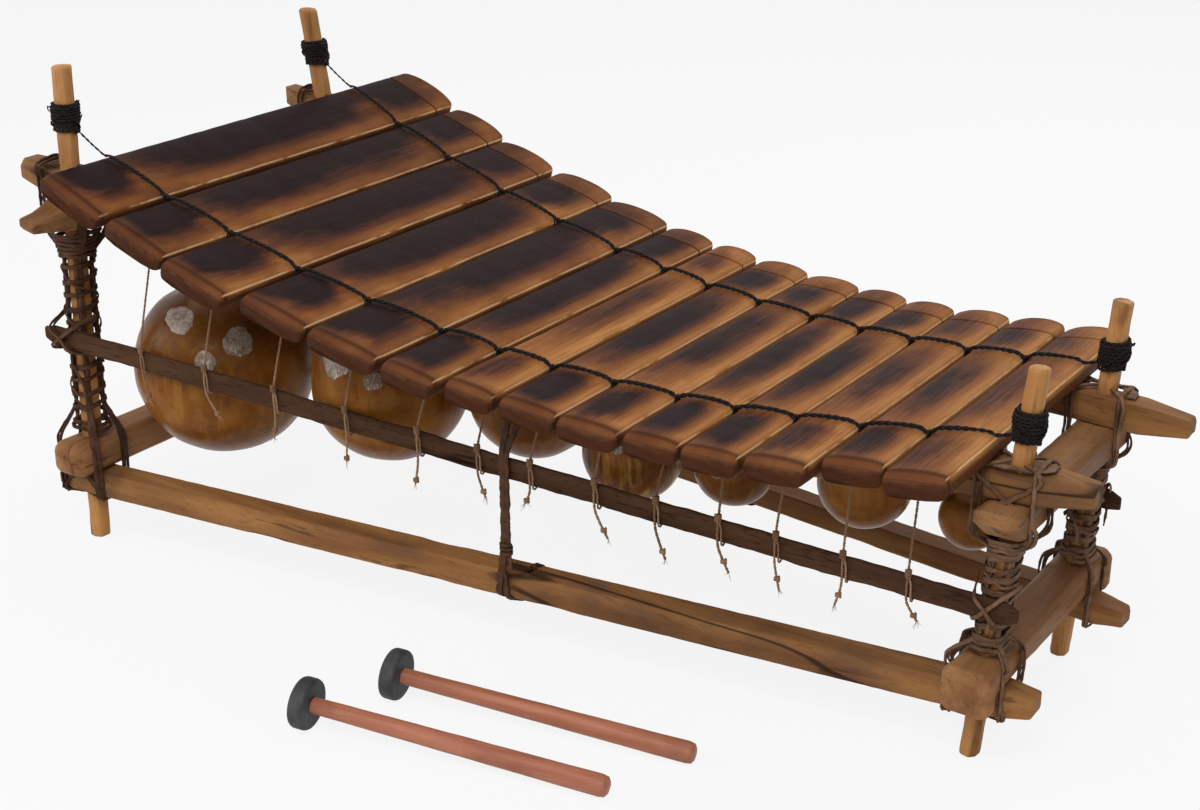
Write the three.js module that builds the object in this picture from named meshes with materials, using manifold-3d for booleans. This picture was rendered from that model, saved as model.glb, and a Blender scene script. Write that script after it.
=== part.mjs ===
// A balafon: fourteen wooden keys on a bowed frame of poles, with a hollow gourd under each key,
// and two mallets lying in front of it. Millimetres, +Z up.
// X runs along the length with the bass end at -X, and the player's near side is at -Y.
import * as THREE from "three";
import { mergeVertices } from "three/addons/utils/BufferGeometryUtils.js";
import Module from "manifold-3d";

const wasm = await Module();
wasm.setup();

// Clearances
const seatGap = 0.3;
const cutOverrun = 5;

// Keys. Their tops follow one circular bow, whose lowest point is nearer the treble end.
const bowRadius = 1540;
const bowLowHeight = 265;
const bowLowX = 170;
const bassArcShare = 0.7;
const keyWidth = 74.8;
const keyThickness = 20;
const keyHalfLength = 262;
const keyGap = 4.6;
const keyCrownDrop = 5;
const keyEdgeRound = 4;
const keyEndBevelLength = 9;
const keyEndBevelDrop = 6;
const keyCornerRadius = 9;
const keyGrooveFromEnd = 34;
const keyGrooveWidth = 4;
const keyGrooveDepth = 2.5;
const keyGrooveCurve = 3;
const keyHollowHalfLength = 70;
const keyHollowDepth = 4;
const keyWidthShares = [
  1, 0.945, 0.98, 0.965, 0.985, 0.715, 0.63, 0.735, 0.745, 0.655, 0.66, 0.69, 0.675, 0.675,
];
const keyGapShares = [1.6, 0.8, 1.6, 0.7, 1.4, 1.2, 1.2, 0.6, 0.8, 0.7, 0.6, 0.9, 1];
const keyNearShares = [
  0.958, 0.942, 0.953, 0.887, 0.875, 0.865, 0.82, 0.803, 0.803, 0.781, 0.773, 0.75, 0.672, 0.713,
];
const keyFarShares = [
  1.036, 1.018, 0.98, 0.972, 0.933, 0.904, 0.89, 0.876, 0.854, 0.832, 0.795, 0.789, 0.76, 0.712,
];

// Posts. Each leans. Its foot and top are placed from the outer edge of the last key at its end,
// and its height from the top of the upper rail there.
const bassFootBeyondKeys = 19.4;
const bassTopBeyondKeys = 51.4;
const bassFootY = 212;
const bassTopY = 169;
const bassPostAboveRail = 96.5;
const bassPostRadius = 10;
const trebleFootInsideKeys = 1;
const trebleTopBeyondKeys = 28.5;
const trebleFootY = 97;
const trebleFootShift = 15;
const trebleTopY = 87.5;
const treblePostAboveRail = 82.5;
const treblePostRadius = 8.75;
const postChamfer = 2.5;
const postFacets = 12;

// Upper long rails, which carry the keys
const upperRailWidth = 30;
const upperRailHeight = 26;
const upperRailBassOverhang = 53;
const upperRailTrebleNearOverhang = 60;
const upperRailTrebleFarOverhang = 76;
const upperRailBassSlope = -0.18;
const upperRailTrebleSlope = 0.02;
const upperRailStations = 16;

// Lower long rails
const lowerRailWidth = 31;
const lowerRailHeight = 23;
const lowerRailBottom = 48;
const lowerRailBassOverhang = 36;
const lowerRailTrebleNearOverhang = 45;
const lowerRailTrebleFarOverhang = 54;
const railTipLength = 12;
const railTipShare = 0.8;

// Cross rails
const bassLowerCrossWidth = 40;
const bassLowerCrossHeight = 34;
const bassLowerCrossOverhang = 38;
const trebleLowerCrossWidth = 39;
const trebleLowerCrossHeight = 27;
const trebleLowerCrossOverhang = 38;
const trebleKnobWidth = 44;
const trebleKnobDrop = 14;
const trebleKnobLength = 15;
const bassUpperCrossWidth = 40;
const bassUpperCrossHeight = 26;
const bassUpperCrossOverhang = 58;
const trebleUpperCrossWidth = 39;
const trebleUpperCrossHeight = 28;
const trebleUpperCrossOverhang = 36;

// Mid strips, outside the posts
const stripHeight = 21;
const stripThickness = 6;
const stripBassHeight = 210;
const stripTrebleNearHeight = 148;
const stripTrebleFarHeight = 156;
const stripBassOverhang = 24;
const stripTrebleOverhang = 24;
const stripStations = 6;

// Rawhide lashings that draw the rails together along each post
const bassLashRadius = 2.2;
const trebleLashRadius = 1.8;
const lashTurns = 7;
const lashStepsPerTurn = 8;
const lashSides = 5;
const lashSelfGap = 0.5;
const lashCoilStartShare = 0.22;
const lashCoilEndShare = 0.8;
const lashDrawInShare = 0.17;

// Cord windings near the post tops, where the key cords end
const windingRadius = 1.6;
const windingPitch = 3.8;
const windingTurns = 7.5;
const windingStepsPerTurn = 8;
const windingSides = 5;
const bassWindingShare = 0.503;
const trebleWindingShare = 0.412;

// Key cords and drop strings
const cordRadius = 2;
const cordSides = 5;
const cordLineBassY = 170;
const cordLineTrebleY = 92;
const stringRadius = 1;
const stringSides = 4;
const stringTail = 18;

// Middle ties, which pull the upper rails down
const tieRadius = 2.6;
const tieSides = 6;
const tieNearX = 24;
const tieFarX = 92;
const tieLowerShift = -16;

// Gourds
const gourdWall = 4.5;
const gourdSegments = 12;
const mouthRadiusShare = 0.36;
const mouthRadiusLeast = 13;
const mouthDrop = 3;
const shoulderShare = 0.7;
// The length that the table of gourds gives its places and radii in shares of
const gourdUnit = 100;

// Mallets
const malletLength = 270;
const malletHeadRadius = 22.5;
const malletHeadThickness = 14;
const malletHeadRound = 3;
const stickHeadRadius = 7.5;
const stickFreeRadius = 9.5;
const stickRound = 2;
const malletSegments = 14;
const malletTurn = 12.3;
const malletNearX = -36.5;
const malletNearY = -358.3;
const malletFarX = -5;
const malletFarY = -280.7;

// Colours
const keyWood = { color: 0xb5793f, roughness: 0.45, metalness: 0 };
const postWood = { color: 0xb8752f, roughness: 0.55, metalness: 0 };
const railWood = { color: 0xb08a5c, roughness: 0.7, metalness: 0 };
const stripWood = { color: 0x4f3a28, roughness: 0.9, metalness: 0 };
const gourdShell = { color: 0xa65f25, roughness: 0.5, metalness: 0 };
const rawhide = { color: 0x7d6a52, roughness: 0.85, metalness: 0 };
const blackCord = { color: 0x1c1a19, roughness: 0.9, metalness: 0 };
const stickWood = { color: 0x9a4c2c, roughness: 0.6, metalness: 0 };
const rubber = { color: 0x2a2929, roughness: 0.85, metalness: 0 };

const balafon = new THREE.Group();

function addPiece(name, geometry, look, parent = balafon) {
  const mesh = new THREE.Mesh(geometry, new THREE.MeshStandardMaterial(look));
  mesh.name = name;
  parent.add(mesh);
  return mesh;
}

const lerp = THREE.MathUtils.lerp;

// Turns a closed surface the right way out.
function faceOutward(geometry) {
  const at = geometry.getAttribute("position");
  const index = geometry.index.array;
  const corners = [new THREE.Vector3(), new THREE.Vector3(), new THREE.Vector3()];
  let volume = 0;
  for (let i = 0; i < index.length; i += 3) {
    corners.forEach((corner, k) => corner.fromBufferAttribute(at, index[i + k]));
    volume += corners[0].dot(corners[1].clone().cross(corners[2]));
  }
  if (volume < 0) {
    for (let i = 0; i < index.length; i += 3) {
      [index[i + 1], index[i + 2]] = [index[i + 2], index[i + 1]];
    }
  }
  return geometry;
}

// A closed solid through rings of points that all have the same count, with a fan at each end.
function loft(rings) {
  const sides = rings[0].length;
  const positions = rings.flat().flatMap((point) => [point.x, point.y, point.z]);
  const index = [];
  for (let ring = 0; ring + 1 < rings.length; ring++) {
    for (let side = 0; side < sides; side++) {
      const a = ring * sides + side;
      const b = ring * sides + ((side + 1) % sides);
      index.push(a, b, b + sides, a, b + sides, a + sides);
    }
  }
  const last = (rings.length - 1) * sides;
  for (let side = 1; side + 1 < sides; side++) {
    index.push(0, side + 1, side);
    index.push(last, last + side, last + side + 1);
  }
  const geometry = new THREE.BufferGeometry();
  geometry.setAttribute("position", new THREE.BufferAttribute(new Float32Array(positions), 3));
  geometry.setIndex(index);
  return faceOutward(geometry);
}

// One unbroken round tube through points, with its section carried along without twist.
function tubeThrough(points, radius, sides) {
  const tangents = points.map((point, i) => {
    const before = points[Math.max(i - 1, 0)];
    const after = points[Math.min(i + 1, points.length - 1)];
    return after.clone().sub(before).normalize();
  });
  const across = new THREE.Vector3(1, 0, 0);
  if (Math.abs(tangents[0].x) > 0.8) across.set(0, 0, 1);
  const rings = points.map((point, i) => {
    across.addScaledVector(tangents[i], -across.dot(tangents[i])).normalize();
    const other = tangents[i].clone().cross(across);
    return Array.from({ length: sides }, (_, side) => {
      const turn = (2 * Math.PI * side) / sides;
      return point
        .clone()
        .addScaledVector(across, radius * Math.cos(turn))
        .addScaledVector(other, radius * Math.sin(turn));
    });
  });
  return loft(rings);
}

// Least clear space between stretches of one tube that lie at least skip points apart.
function leastSelfGap(points, radius, skip) {
  let least = Infinity;
  for (let i = 0; i + 1 < points.length; i++) {
    for (let k = i + skip; k + 1 < points.length; k++) {
      for (const share of [0, 0.25, 0.5, 0.75, 1]) {
        const here = points[i].clone().lerp(points[i + 1], share);
        const line = new THREE.Line3(points[k], points[k + 1]);
        const near = line.closestPointToPoint(here, true, new THREE.Vector3());
        least = Math.min(least, here.distanceTo(near) - 2 * radius);
      }
    }
  }
  return least;
}

// Solids for cutting and joining
function solidOf(geometry) {
  const bare = geometry.clone();
  bare.deleteAttribute("normal");
  bare.deleteAttribute("uv");
  const merged = mergeVertices(bare);
  const vertProperties = new Float32Array(merged.getAttribute("position").array);
  const triVerts = new Uint32Array(merged.index.array);
  return new wasm.Manifold(new wasm.Mesh({ numProp: 3, vertProperties, triVerts }));
}

function geometryOf(solid) {
  const { vertProperties, triVerts } = solid.getMesh();
  const geometry = new THREE.BufferGeometry();
  geometry.setAttribute("position", new THREE.BufferAttribute(new Float32Array(vertProperties), 3));
  geometry.setIndex(new THREE.BufferAttribute(new Uint32Array(triVerts), 1));
  return geometry;
}

function cut(geometry, cutters) {
  const left = cutters.reduce((body, cutter) => body.subtract(solidOf(cutter)), solidOf(geometry));
  return geometryOf(left);
}

function join(geometries) {
  return geometryOf(geometries.map(solidOf).reduce((body, next) => body.add(next)));
}

const point = (x, y, z) => new THREE.Vector3(x, y, z);
const sides = { near: -1, far: 1 };

// The bow, and where each key sits along it
const bowCentre = point(bowLowX, 0, bowLowHeight + bowRadius);
const sum = (values) => values.reduce((total, value) => total + value, 0);
const keysArc = keyWidth * sum(keyWidthShares) + keyGap * sum(keyGapShares);

function onBow(arc, radius) {
  const turn = arc / bowRadius;
  return point(
    bowCentre.x + radius * Math.sin(turn),
    0,
    bowCentre.z - radius * Math.cos(turn),
  );
}

const keys = [];
const gapArcs = [];
{
  let arc = -bassArcShare * keysArc;
  keyWidthShares.forEach((widthShare, i) => {
    const width = keyWidth * widthShare;
    keys.push({
      number: i + 1,
      width,
      arc: arc + width / 2,
      near: -keyHalfLength * keyNearShares[i],
      far: keyHalfLength * keyFarShares[i],
    });
    arc += width;
    if (i < keyGapShares.length) {
      gapArcs.push(arc + (keyGap * keyGapShares[i]) / 2);
      arc += keyGap * keyGapShares[i];
    }
  });
}

// Key section, seen from its near end: a crowned top, rounded edges and a flat underside.
function keyRing(width, y, { endDrop = 0, hollow = 0, narrow = 0, grooveDrop = 0, curve = 0 }) {
  const half = width / 2 - narrow;
  const bottom = -keyThickness + hollow;
  const outline = [
    [-0.2 * half, 0],
    [0.2 * half, 0],
    [0.72 * half, -0.3 * keyCrownDrop],
    [half, -keyCrownDrop],
    [half, -keyThickness + keyEdgeRound],
    [0.8 * half, bottom],
    [-0.8 * half, bottom],
    [-half, -keyThickness + keyEdgeRound],
    [-half, -keyCrownDrop],
    [-0.72 * half, -0.3 * keyCrownDrop],
  ];
  return outline.map(([across, up]) => {
    const top = up >= -keyCrownDrop;
    const lowered = top ? up - grooveDrop - endDrop * (1 + up / (2 * keyCrownDrop)) : up;
    return point(across, y + (top ? curve * (1 - (across / half) ** 2) : 0), lowered);
  });
}

function keyGeometry({ width, near, far }) {
  const middle = (near + far) / 2;
  const grooveY = far - keyGrooveFromEnd;
  const groove = { curve: -keyGrooveCurve };
  return loft([
    keyRing(width, near, { endDrop: keyEndBevelDrop }),
    keyRing(width, near + keyEndBevelLength, {}),
    keyRing(width, middle - keyHollowHalfLength, {}),
    keyRing(width, middle, { hollow: keyHollowDepth }),
    keyRing(width, middle + keyHollowHalfLength, {}),
    keyRing(width, grooveY - keyGrooveWidth / 2, groove),
    keyRing(width, grooveY, { grooveDrop: keyGrooveDepth, ...groove }),
    keyRing(width, grooveY + keyGrooveWidth / 2, groove),
    keyRing(width, far - keyCornerRadius, {}),
    keyRing(width, far - 0.3 * keyCornerRadius, { narrow: 0.3 * keyCornerRadius }),
    keyRing(width, far, { narrow: keyCornerRadius }),
  ]);
}

keys.forEach((key) => {
  const name = "key_" + String(key.number).padStart(2, "0");
  const mesh = addPiece(name, keyGeometry(key), keyWood);
  mesh.position.copy(onBow(key.arc, bowRadius));
  mesh.rotation.y = -key.arc / bowRadius;
});

// Upper long rails: their tops follow the bow under the keys and run straight past it.
const firstKey = keys[0];
const lastKey = keys[keys.length - 1];
const underEdge = (0.8 * keyWidth) / 2;
const railStationArc = (lastKey.arc - firstKey.arc) / upperRailStations;
const railTopRadius =
  bowRadius +
  keyThickness +
  (underEdge ** 2 + (railStationArc / 2) ** 2) / (2 * bowRadius) +
  seatGap;
const bowStart = onBow(firstKey.arc, railTopRadius);
const bowEnd = onBow(lastKey.arc, railTopRadius);

function upperRailTop(x) {
  if (x < bowStart.x) return bowStart.z + upperRailBassSlope * (x - bowStart.x);
  if (x > bowEnd.x) return bowEnd.z + upperRailTrebleSlope * (x - bowEnd.x);
  return bowCentre.z - Math.sqrt(railTopRadius ** 2 - (x - bowCentre.x) ** 2);
}

// Posts
const keysStartX = onBow(firstKey.arc - firstKey.width / 2, bowRadius).x;
const keysEndX = onBow(lastKey.arc + lastKey.width / 2, bowRadius).x;

function makePost(end, side) {
  const bass = end === "bass";
  const sign = sides[side];
  const topX = bass ? keysStartX - bassTopBeyondKeys : keysEndX + trebleTopBeyondKeys;
  const aboveRail = bass ? bassPostAboveRail : treblePostAboveRail;
  const height = upperRailTop(topX) + aboveRail;
  const foot = bass
    ? point(keysStartX - bassFootBeyondKeys, sign * bassFootY, 0)
    : point(keysEndX - trebleFootInsideKeys, sign * trebleFootY + trebleFootShift, 0);
  const top = point(topX, sign * (bass ? bassTopY : trebleTopY), height);
  const radius = bass ? bassPostRadius : treblePostRadius;
  const windingLevel = height - (1 - (bass ? bassWindingShare : trebleWindingShare)) * aboveRail;
  const at = (z) => foot.clone().lerp(top, z / height);
  return { name: end + "_" + side, bass, sign, height, radius, windingLevel, at };
}

const posts = {};
for (const end of ["bass", "treble"]) {
  for (const side of ["near", "far"]) posts[end + "_" + side] = makePost(end, side);
}

// A round stack of level rings along a leaning post.
function postStack(post, levels) {
  return loft(
    levels.map(([z, radius]) => {
      const centre = post.at(z);
      return Array.from({ length: postFacets }, (_, i) => {
        const turn = (2 * Math.PI * i) / postFacets;
        return centre.clone().add(point(radius * Math.cos(turn), radius * Math.sin(turn), 0));
      });
    }),
  );
}

function postGeometry(post) {
  const { height, radius } = post;
  return postStack(post, [
    [0, radius - postChamfer / 2],
    [postChamfer, radius],
    [height - postChamfer, radius],
    [height, radius - postChamfer],
  ]);
}

function postHole(post) {
  return postStack(post, [
    [-cutOverrun, post.radius + seatGap],
    [post.height + cutOverrun, post.radius + seatGap],
  ]);
}

for (const post of Object.values(posts)) addPiece("post_" + post.name, postGeometry(post), postWood);

// Where a rail's centre line lies in plan: straight through both posts of its side at one level.
function railLine(side, bassLevel, trebleLevel) {
  const from = posts["bass_" + side].at(bassLevel);
  const to = posts["treble_" + side].at(trebleLevel);
  const y = (x) => lerp(from.y, to.y, (x - from.x) / (to.x - from.x));
  return { fromX: from.x, toX: to.x, y };
}

// Height of the middle of the upper rails at the posts
const levelPasses = 6;

function upperRailLevel(end) {
  const post = posts[end + "_near"];
  let level = post.height / 2;
  for (let pass = 0; pass < levelPasses; pass++) {
    level = upperRailTop(post.at(level).x) - upperRailHeight / 2;
  }
  return level;
}
const bassUpperLevel = upperRailLevel("bass");
const trebleUpperLevel = upperRailLevel("treble");
const upperLines = {};
const lowerLines = {};
const lowerLevel = lowerRailBottom + lowerRailHeight / 2;
for (const side of ["near", "far"]) {
  upperLines[side] = railLine(side, bassUpperLevel, trebleUpperLevel);
  lowerLines[side] = railLine(side, lowerLevel, lowerLevel);
}

// A rail's section at one x. The outline is in shares: outward from the centre line, and up.
const upperRailOutlineShares = [
  [-0.5, 0],
  [0.42, 0],
  [0.5, 0.08],
  [0.5, 0.66],
  [0.24, 1],
  [-0.5, 1],
];
const lowerRailOutlineShares = [
  [-0.5, 0.12],
  [-0.4, 0],
  [0.5, 0],
  [0.5, 0.6],
  [0.3, 1],
  [-0.5, 1],
];

function railRing(outlineShares, { x, y, top, width, height, sign, shrink = 1 }) {
  return outlineShares.map(([out, up]) =>
    point(
      x,
      y + sign * width * out * shrink,
      top - height / 2 + height * (up - 0.5) * shrink,
    ),
  );
}

function upperRailGeometry(side) {
  const line = upperLines[side];
  const sign = sides[side];
  const overhang = side === "near" ? upperRailTrebleNearOverhang : upperRailTrebleFarOverhang;
  const start = line.fromX - upperRailBassOverhang;
  const end = line.toX + overhang;
  const stations = [
    { x: start, shrink: railTipShare },
    { x: start + railTipLength },
    { x: line.fromX },
  ];
  for (let i = 0; i <= upperRailStations; i++) {
    stations.push({ x: onBow(firstKey.arc + i * railStationArc, railTopRadius).x });
  }
  stations.push({ x: line.toX }, { x: end - railTipLength }, { x: end, shrink: railTipShare });
  const body = loft(
    stations.map(({ x, shrink }) =>
      railRing(upperRailOutlineShares, {
        x,
        y: line.y(x),
        top: upperRailTop(x),
        width: upperRailWidth,
        height: upperRailHeight,
        sign,
        shrink,
      }),
    ),
  );
  return cut(body, [
    postHole(posts["bass_" + side]),
    postHole(posts["treble_" + side]),
    tieGroove(side),
  ]);
}

const tieX = { near: tieNearX, far: tieFarX };

// The groove across an upper rail's top that a middle tie lies in, under a key.
function tieGroove(side) {
  const x = tieX[side];
  const size = 2 * (tieRadius + seatGap);
  const box = new THREE.BoxGeometry(size, upperRailWidth + 2 * cutOverrun, size + cutOverrun);
  const bottom = upperRailTop(x) - size;
  box.translate(x, upperLines[side].y(x), bottom + (size + cutOverrun) / 2);
  return box;
}

function lowerRailGeometry(side) {
  const line = lowerLines[side];
  const overhang = side === "near" ? lowerRailTrebleNearOverhang : lowerRailTrebleFarOverhang;
  const start = line.fromX - lowerRailBassOverhang;
  const end = line.toX + overhang;
  const stations = [
    { x: start, shrink: railTipShare },
    { x: start + railTipLength },
    { x: end - railTipLength },
    { x: end, shrink: railTipShare },
  ];
  const body = loft(
    stations.map(({ x, shrink }) =>
      railRing(lowerRailOutlineShares, {
        x,
        y: line.y(x),
        top: lowerRailBottom + lowerRailHeight,
        width: lowerRailWidth,
        height: lowerRailHeight,
        sign: sides[side],
        shrink,
      }),
    ),
  );
  return cut(body, [postHole(posts["bass_" + side]), postHole(posts["treble_" + side])]);
}

for (const side of ["near", "far"]) {
  addPiece("upper_rail_" + side, upperRailGeometry(side), railWood);
  addPiece("lower_rail_" + side, lowerRailGeometry(side), railWood);
}

// Cross rails. The outline is in shares: along X from the centre, and up from the underside.
const crossOutlineShares = [
  [-0.5, 0.15],
  [-0.36, 0],
  [0.36, 0],
  [0.5, 0.15],
  [0.5, 0.85],
  [0.36, 1],
  [-0.36, 1],
  [-0.5, 0.85],
];

// One ring of a cross rail. slope tilts its top and bottom to suit the long rail above it.
function crossRing({ x, y, top, width, height, slope = 0, skew = 0 }) {
  return crossOutlineShares.map(([along, up]) =>
    point(
      x + along * width,
      y + skew * along * width,
      top - height * (1 - up) + slope * along * width,
    ),
  );
}

function addCrossRail(name, end, level, rings) {
  const near = posts[end + "_near"];
  const far = posts[end + "_far"];
  const body = loft(rings(near.at(level), far.at(level)));
  addPiece(name, cut(body, [postHole(near), postHole(far)]), railWood);
}

const lowerCrossBottom = lowerRailBottom + lowerRailHeight + seatGap;

addCrossRail(
  "lower_cross_bass",
  "bass",
  lowerCrossBottom + bassLowerCrossHeight / 2,
  (near, far) => {
    const shape = {
      x: near.x,
      top: lowerCrossBottom + bassLowerCrossHeight,
      width: bassLowerCrossWidth,
      height: bassLowerCrossHeight,
    };
    const tip = {
      ...shape,
      width: 0.6 * bassLowerCrossWidth,
      top: shape.top - 0.2 * bassLowerCrossHeight,
      height: 0.6 * bassLowerCrossHeight,
    };
    const start = near.y - bassLowerCrossOverhang;
    const end = far.y + bassLowerCrossOverhang;
    return [
      crossRing({ ...tip, y: start }),
      crossRing({ ...shape, y: start + railTipLength }),
      crossRing({ ...shape, y: end - railTipLength }),
      crossRing({ ...tip, y: end }),
    ];
  },
);

addCrossRail(
  "lower_cross_treble",
  "treble",
  lowerCrossBottom + trebleLowerCrossHeight / 2,
  (near, far) => {
    const board = {
      x: near.x,
      top: lowerCrossBottom + trebleLowerCrossHeight,
      width: trebleLowerCrossWidth,
      height: trebleLowerCrossHeight,
    };
    const knob = {
      ...board,
      width: trebleKnobWidth,
      height: trebleLowerCrossHeight + trebleKnobDrop,
    };
    const start = near.y - trebleLowerCrossOverhang;
    const end = far.y + trebleLowerCrossOverhang;
    return [
      crossRing({ ...knob, y: start }),
      crossRing({ ...knob, y: start + 0.6 * trebleKnobLength }),
      crossRing({ ...board, y: start + trebleKnobLength }),
      crossRing({ ...board, y: end - trebleKnobLength }),
      crossRing({ ...knob, y: end - 0.6 * trebleKnobLength }),
      crossRing({ ...knob, y: end }),
    ];
  },
);

// Upper cross rails press up against the undersides of the upper long rails.
const crossTopUnder = (x) => upperRailTop(x) - upperRailHeight - seatGap;

addCrossRail(
  "upper_cross_bass",
  "bass",
  bassUpperLevel - upperRailHeight / 2 - bassUpperCrossHeight / 2,
  (near, far) => {
    const shape = {
      x: near.x,
      top: crossTopUnder(near.x),
      width: bassUpperCrossWidth,
      height: bassUpperCrossHeight,
      slope: upperRailBassSlope,
    };
    const tip = { ...shape, height: 0.7 * bassUpperCrossHeight, skew: 0.6 };
    const start = near.y - bassUpperCrossOverhang;
    const end = far.y + bassUpperCrossOverhang;
    return [
      crossRing({ ...tip, y: start }),
      crossRing({ ...shape, y: start + 2 * railTipLength }),
      crossRing({ ...shape, y: end - 2 * railTipLength }),
      crossRing({ ...tip, y: end, skew: -tip.skew }),
    ];
  },
);

addCrossRail(
  "upper_cross_treble",
  "treble",
  trebleUpperLevel - upperRailHeight / 2 - trebleUpperCrossHeight / 2,
  (near, far) => {
    const shape = {
      x: near.x,
      top: crossTopUnder(near.x),
      width: trebleUpperCrossWidth,
      height: trebleUpperCrossHeight,
      slope: upperRailTrebleSlope,
    };
    const tip = { ...shape, height: 0.5 * trebleUpperCrossHeight };
    const start = near.y - trebleUpperCrossOverhang;
    const end = far.y + trebleUpperCrossOverhang;
    return [
      crossRing({ ...tip, y: start }),
      crossRing({ ...shape, y: start + 1.5 * railTipLength }),
      crossRing({ ...shape, y: end - 1.5 * railTipLength }),
      crossRing({ ...tip, y: end }),
    ];
  },
);

// Column lashings. Four strands run from the lower rail to the upper one, and a coil binds them.
function lashSizes(post) {
  const radius = post.bass ? bassLashRadius : trebleLashRadius;
  const strandOut = post.radius + seatGap + radius;
  const coilOut = strandOut + (2 * radius + lashSelfGap) / Math.cos(Math.PI / lashStepsPerTurn);
  return { radius, strandOut, coilOut, outer: coilOut + radius };
}

function lashPoints(post, side) {
  const { radius, strandOut, coilOut } = lashSizes(post);
  const lowerCrossWidth = post.bass ? bassLowerCrossWidth : trebleLowerCrossWidth;
  const lowerCrossHeight = post.bass ? bassLowerCrossHeight : trebleLowerCrossHeight;
  const upperCrossWidth = post.bass ? bassUpperCrossWidth : trebleUpperCrossWidth;
  const upperCrossHeight = post.bass ? bassUpperCrossHeight : trebleUpperCrossHeight;
  const upperLevel = post.bass ? bassUpperLevel : trebleUpperLevel;
  const away = radius + seatGap;
  const lowX = post.at(lowerCrossBottom + lowerCrossHeight / 2).x;
  const highX = post.at(upperLevel - (upperRailHeight + upperCrossHeight) / 2).x;
  const under = lowerRailBottom - away;
  const overCross = lowerCrossBottom + lowerCrossHeight + away;
  const underCross = crossTopUnder(highX) - upperCrossHeight - 2 * away;
  const span = underCross - overCross;
  const low = (sx, sy, z) => {
    const x = lowX + sx * (lowerCrossWidth / 2 + away);
    return point(x, lowerLines[side].y(x) + sy * (lowerRailWidth / 2 + away), z);
  };
  const high = (sx, sy, z) => {
    const x = highX + sx * (upperCrossWidth / 2 + away);
    return point(x, upperLines[side].y(x) + sy * (upperRailWidth / 2 + away), z);
  };
  const drawn = (sx, sy, z) => {
    const out = strandOut * Math.SQRT1_2;
    return post.at(z).add(point(sx * out, sy * out, 0));
  };
  const above = (sx, sy) => {
    const corner = high(sx, sy, 0);
    return corner.setZ(upperRailTop(corner.x) + away);
  };
  const lowDrawn = overCross + lashDrawInShare * span;
  const highDrawn = underCross - lashDrawInShare * span;
  const upStrand = (sx, sy) => [
    low(sx, sy, under),
    low(sx, sy, overCross),
    drawn(sx, sy, lowDrawn),
    drawn(sx, sy, highDrawn),
    high(sx, sy, underCross),
    above(sx, sy),
  ];
  const out = post.sign;
  const points = [
    low(1, 0, under),
    ...upStrand(1, out),
    ...upStrand(1, -out).reverse(),
    low(-1, -out, under),
    ...upStrand(-1, out),
    ...upStrand(-1, -out).slice(3).reverse(),
  ];
  // The coil starts from the last strand and climbs round all four.
  const from = overCross + lashCoilStartShare * span;
  const to = overCross + lashCoilEndShare * span;
  const startTurn = Math.atan2(-out, -1);
  const coilSteps = lashTurns * lashStepsPerTurn;
  for (let i = 0; i <= coilSteps; i++) {
    const turn = startTurn + (2 * Math.PI * i) / lashStepsPerTurn;
    const spread = i ? coilOut : strandOut;
    const centre = post.at(lerp(from, to, i / coilSteps));
    points.push(centre.add(point(spread * Math.cos(turn), spread * Math.sin(turn), 0)));
  }
  return points;
}

// Windings of the key cords near the post tops
function windingPoints(post) {
  const steps = windingTurns * windingStepsPerTurn;
  const out =
    (post.radius + seatGap + windingRadius) / Math.cos(Math.PI / windingStepsPerTurn);
  const start = post.windingLevel - (windingTurns * windingPitch) / 2;
  return Array.from({ length: steps + 1 }, (_, i) => {
    const turn = (2 * Math.PI * i) / windingStepsPerTurn;
    const centre = post.at(start + (windingPitch * i) / windingStepsPerTurn);
    return centre.add(point(out * Math.cos(turn), out * Math.sin(turn), 0));
  });
}

let leastLashGap = Infinity;
let leastWindingGap = Infinity;
for (const [name, post] of Object.entries(posts)) {
  const side = name.split("_")[1];
  const lash = lashPoints(post, side);
  const { radius } = lashSizes(post);
  leastLashGap = Math.min(leastLashGap, leastSelfGap(lash, radius, lashStepsPerTurn / 2));
  addPiece("lashing_" + name, tubeThrough(lash, radius, lashSides), rawhide);
  const winding = windingPoints(post);
  leastWindingGap = Math.min(
    leastWindingGap,
    leastSelfGap(winding, windingRadius, windingStepsPerTurn / 2),
  );
  addPiece("winding_" + name, tubeThrough(winding, windingRadius, windingSides), blackCord);
}
console.log("least gap of a lashing to itself", leastLashGap.toFixed(2));
console.log("least gap of a winding to itself", leastWindingGap.toFixed(2));

// Mid strips, which lie against the outsides of the column lashings
function stripLine(side) {
  const sign = sides[side];
  const bassPost = posts["bass_" + side];
  const treblePost = posts["treble_" + side];
  const trebleHeight = side === "near" ? stripTrebleNearHeight : stripTrebleFarHeight;
  const from = bassPost.at(stripBassHeight);
  const to = treblePost.at(trebleHeight);
  // Posts lean inward as they rise, so a strip's lower edge is the one that meets the coil.
  const clear = (post) => {
    const lean = Math.abs(post.at(post.height).y - post.at(0).y) / post.height;
    return lashSizes(post).outer + seatGap + (lean * stripHeight) / 2;
  };
  const fromY = from.y + sign * clear(bassPost);
  const toY = to.y + sign * clear(treblePost);
  const share = (x) => (x - from.x) / (to.x - from.x);
  return {
    fromX: from.x,
    toX: to.x,
    inner: (x) => lerp(fromY, toY, share(x)),
    outer: (x) => lerp(fromY, toY, share(x)) + sign * stripThickness,
    z: (x) => lerp(stripBassHeight, trebleHeight, share(x)),
  };
}

const stripOutlineShares = [
  [0, 0.5],
  [0.75, 0.5],
  [1, 0.35],
  [1, -0.4],
  [0.8, -0.5],
  [0, -0.5],
];

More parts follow.
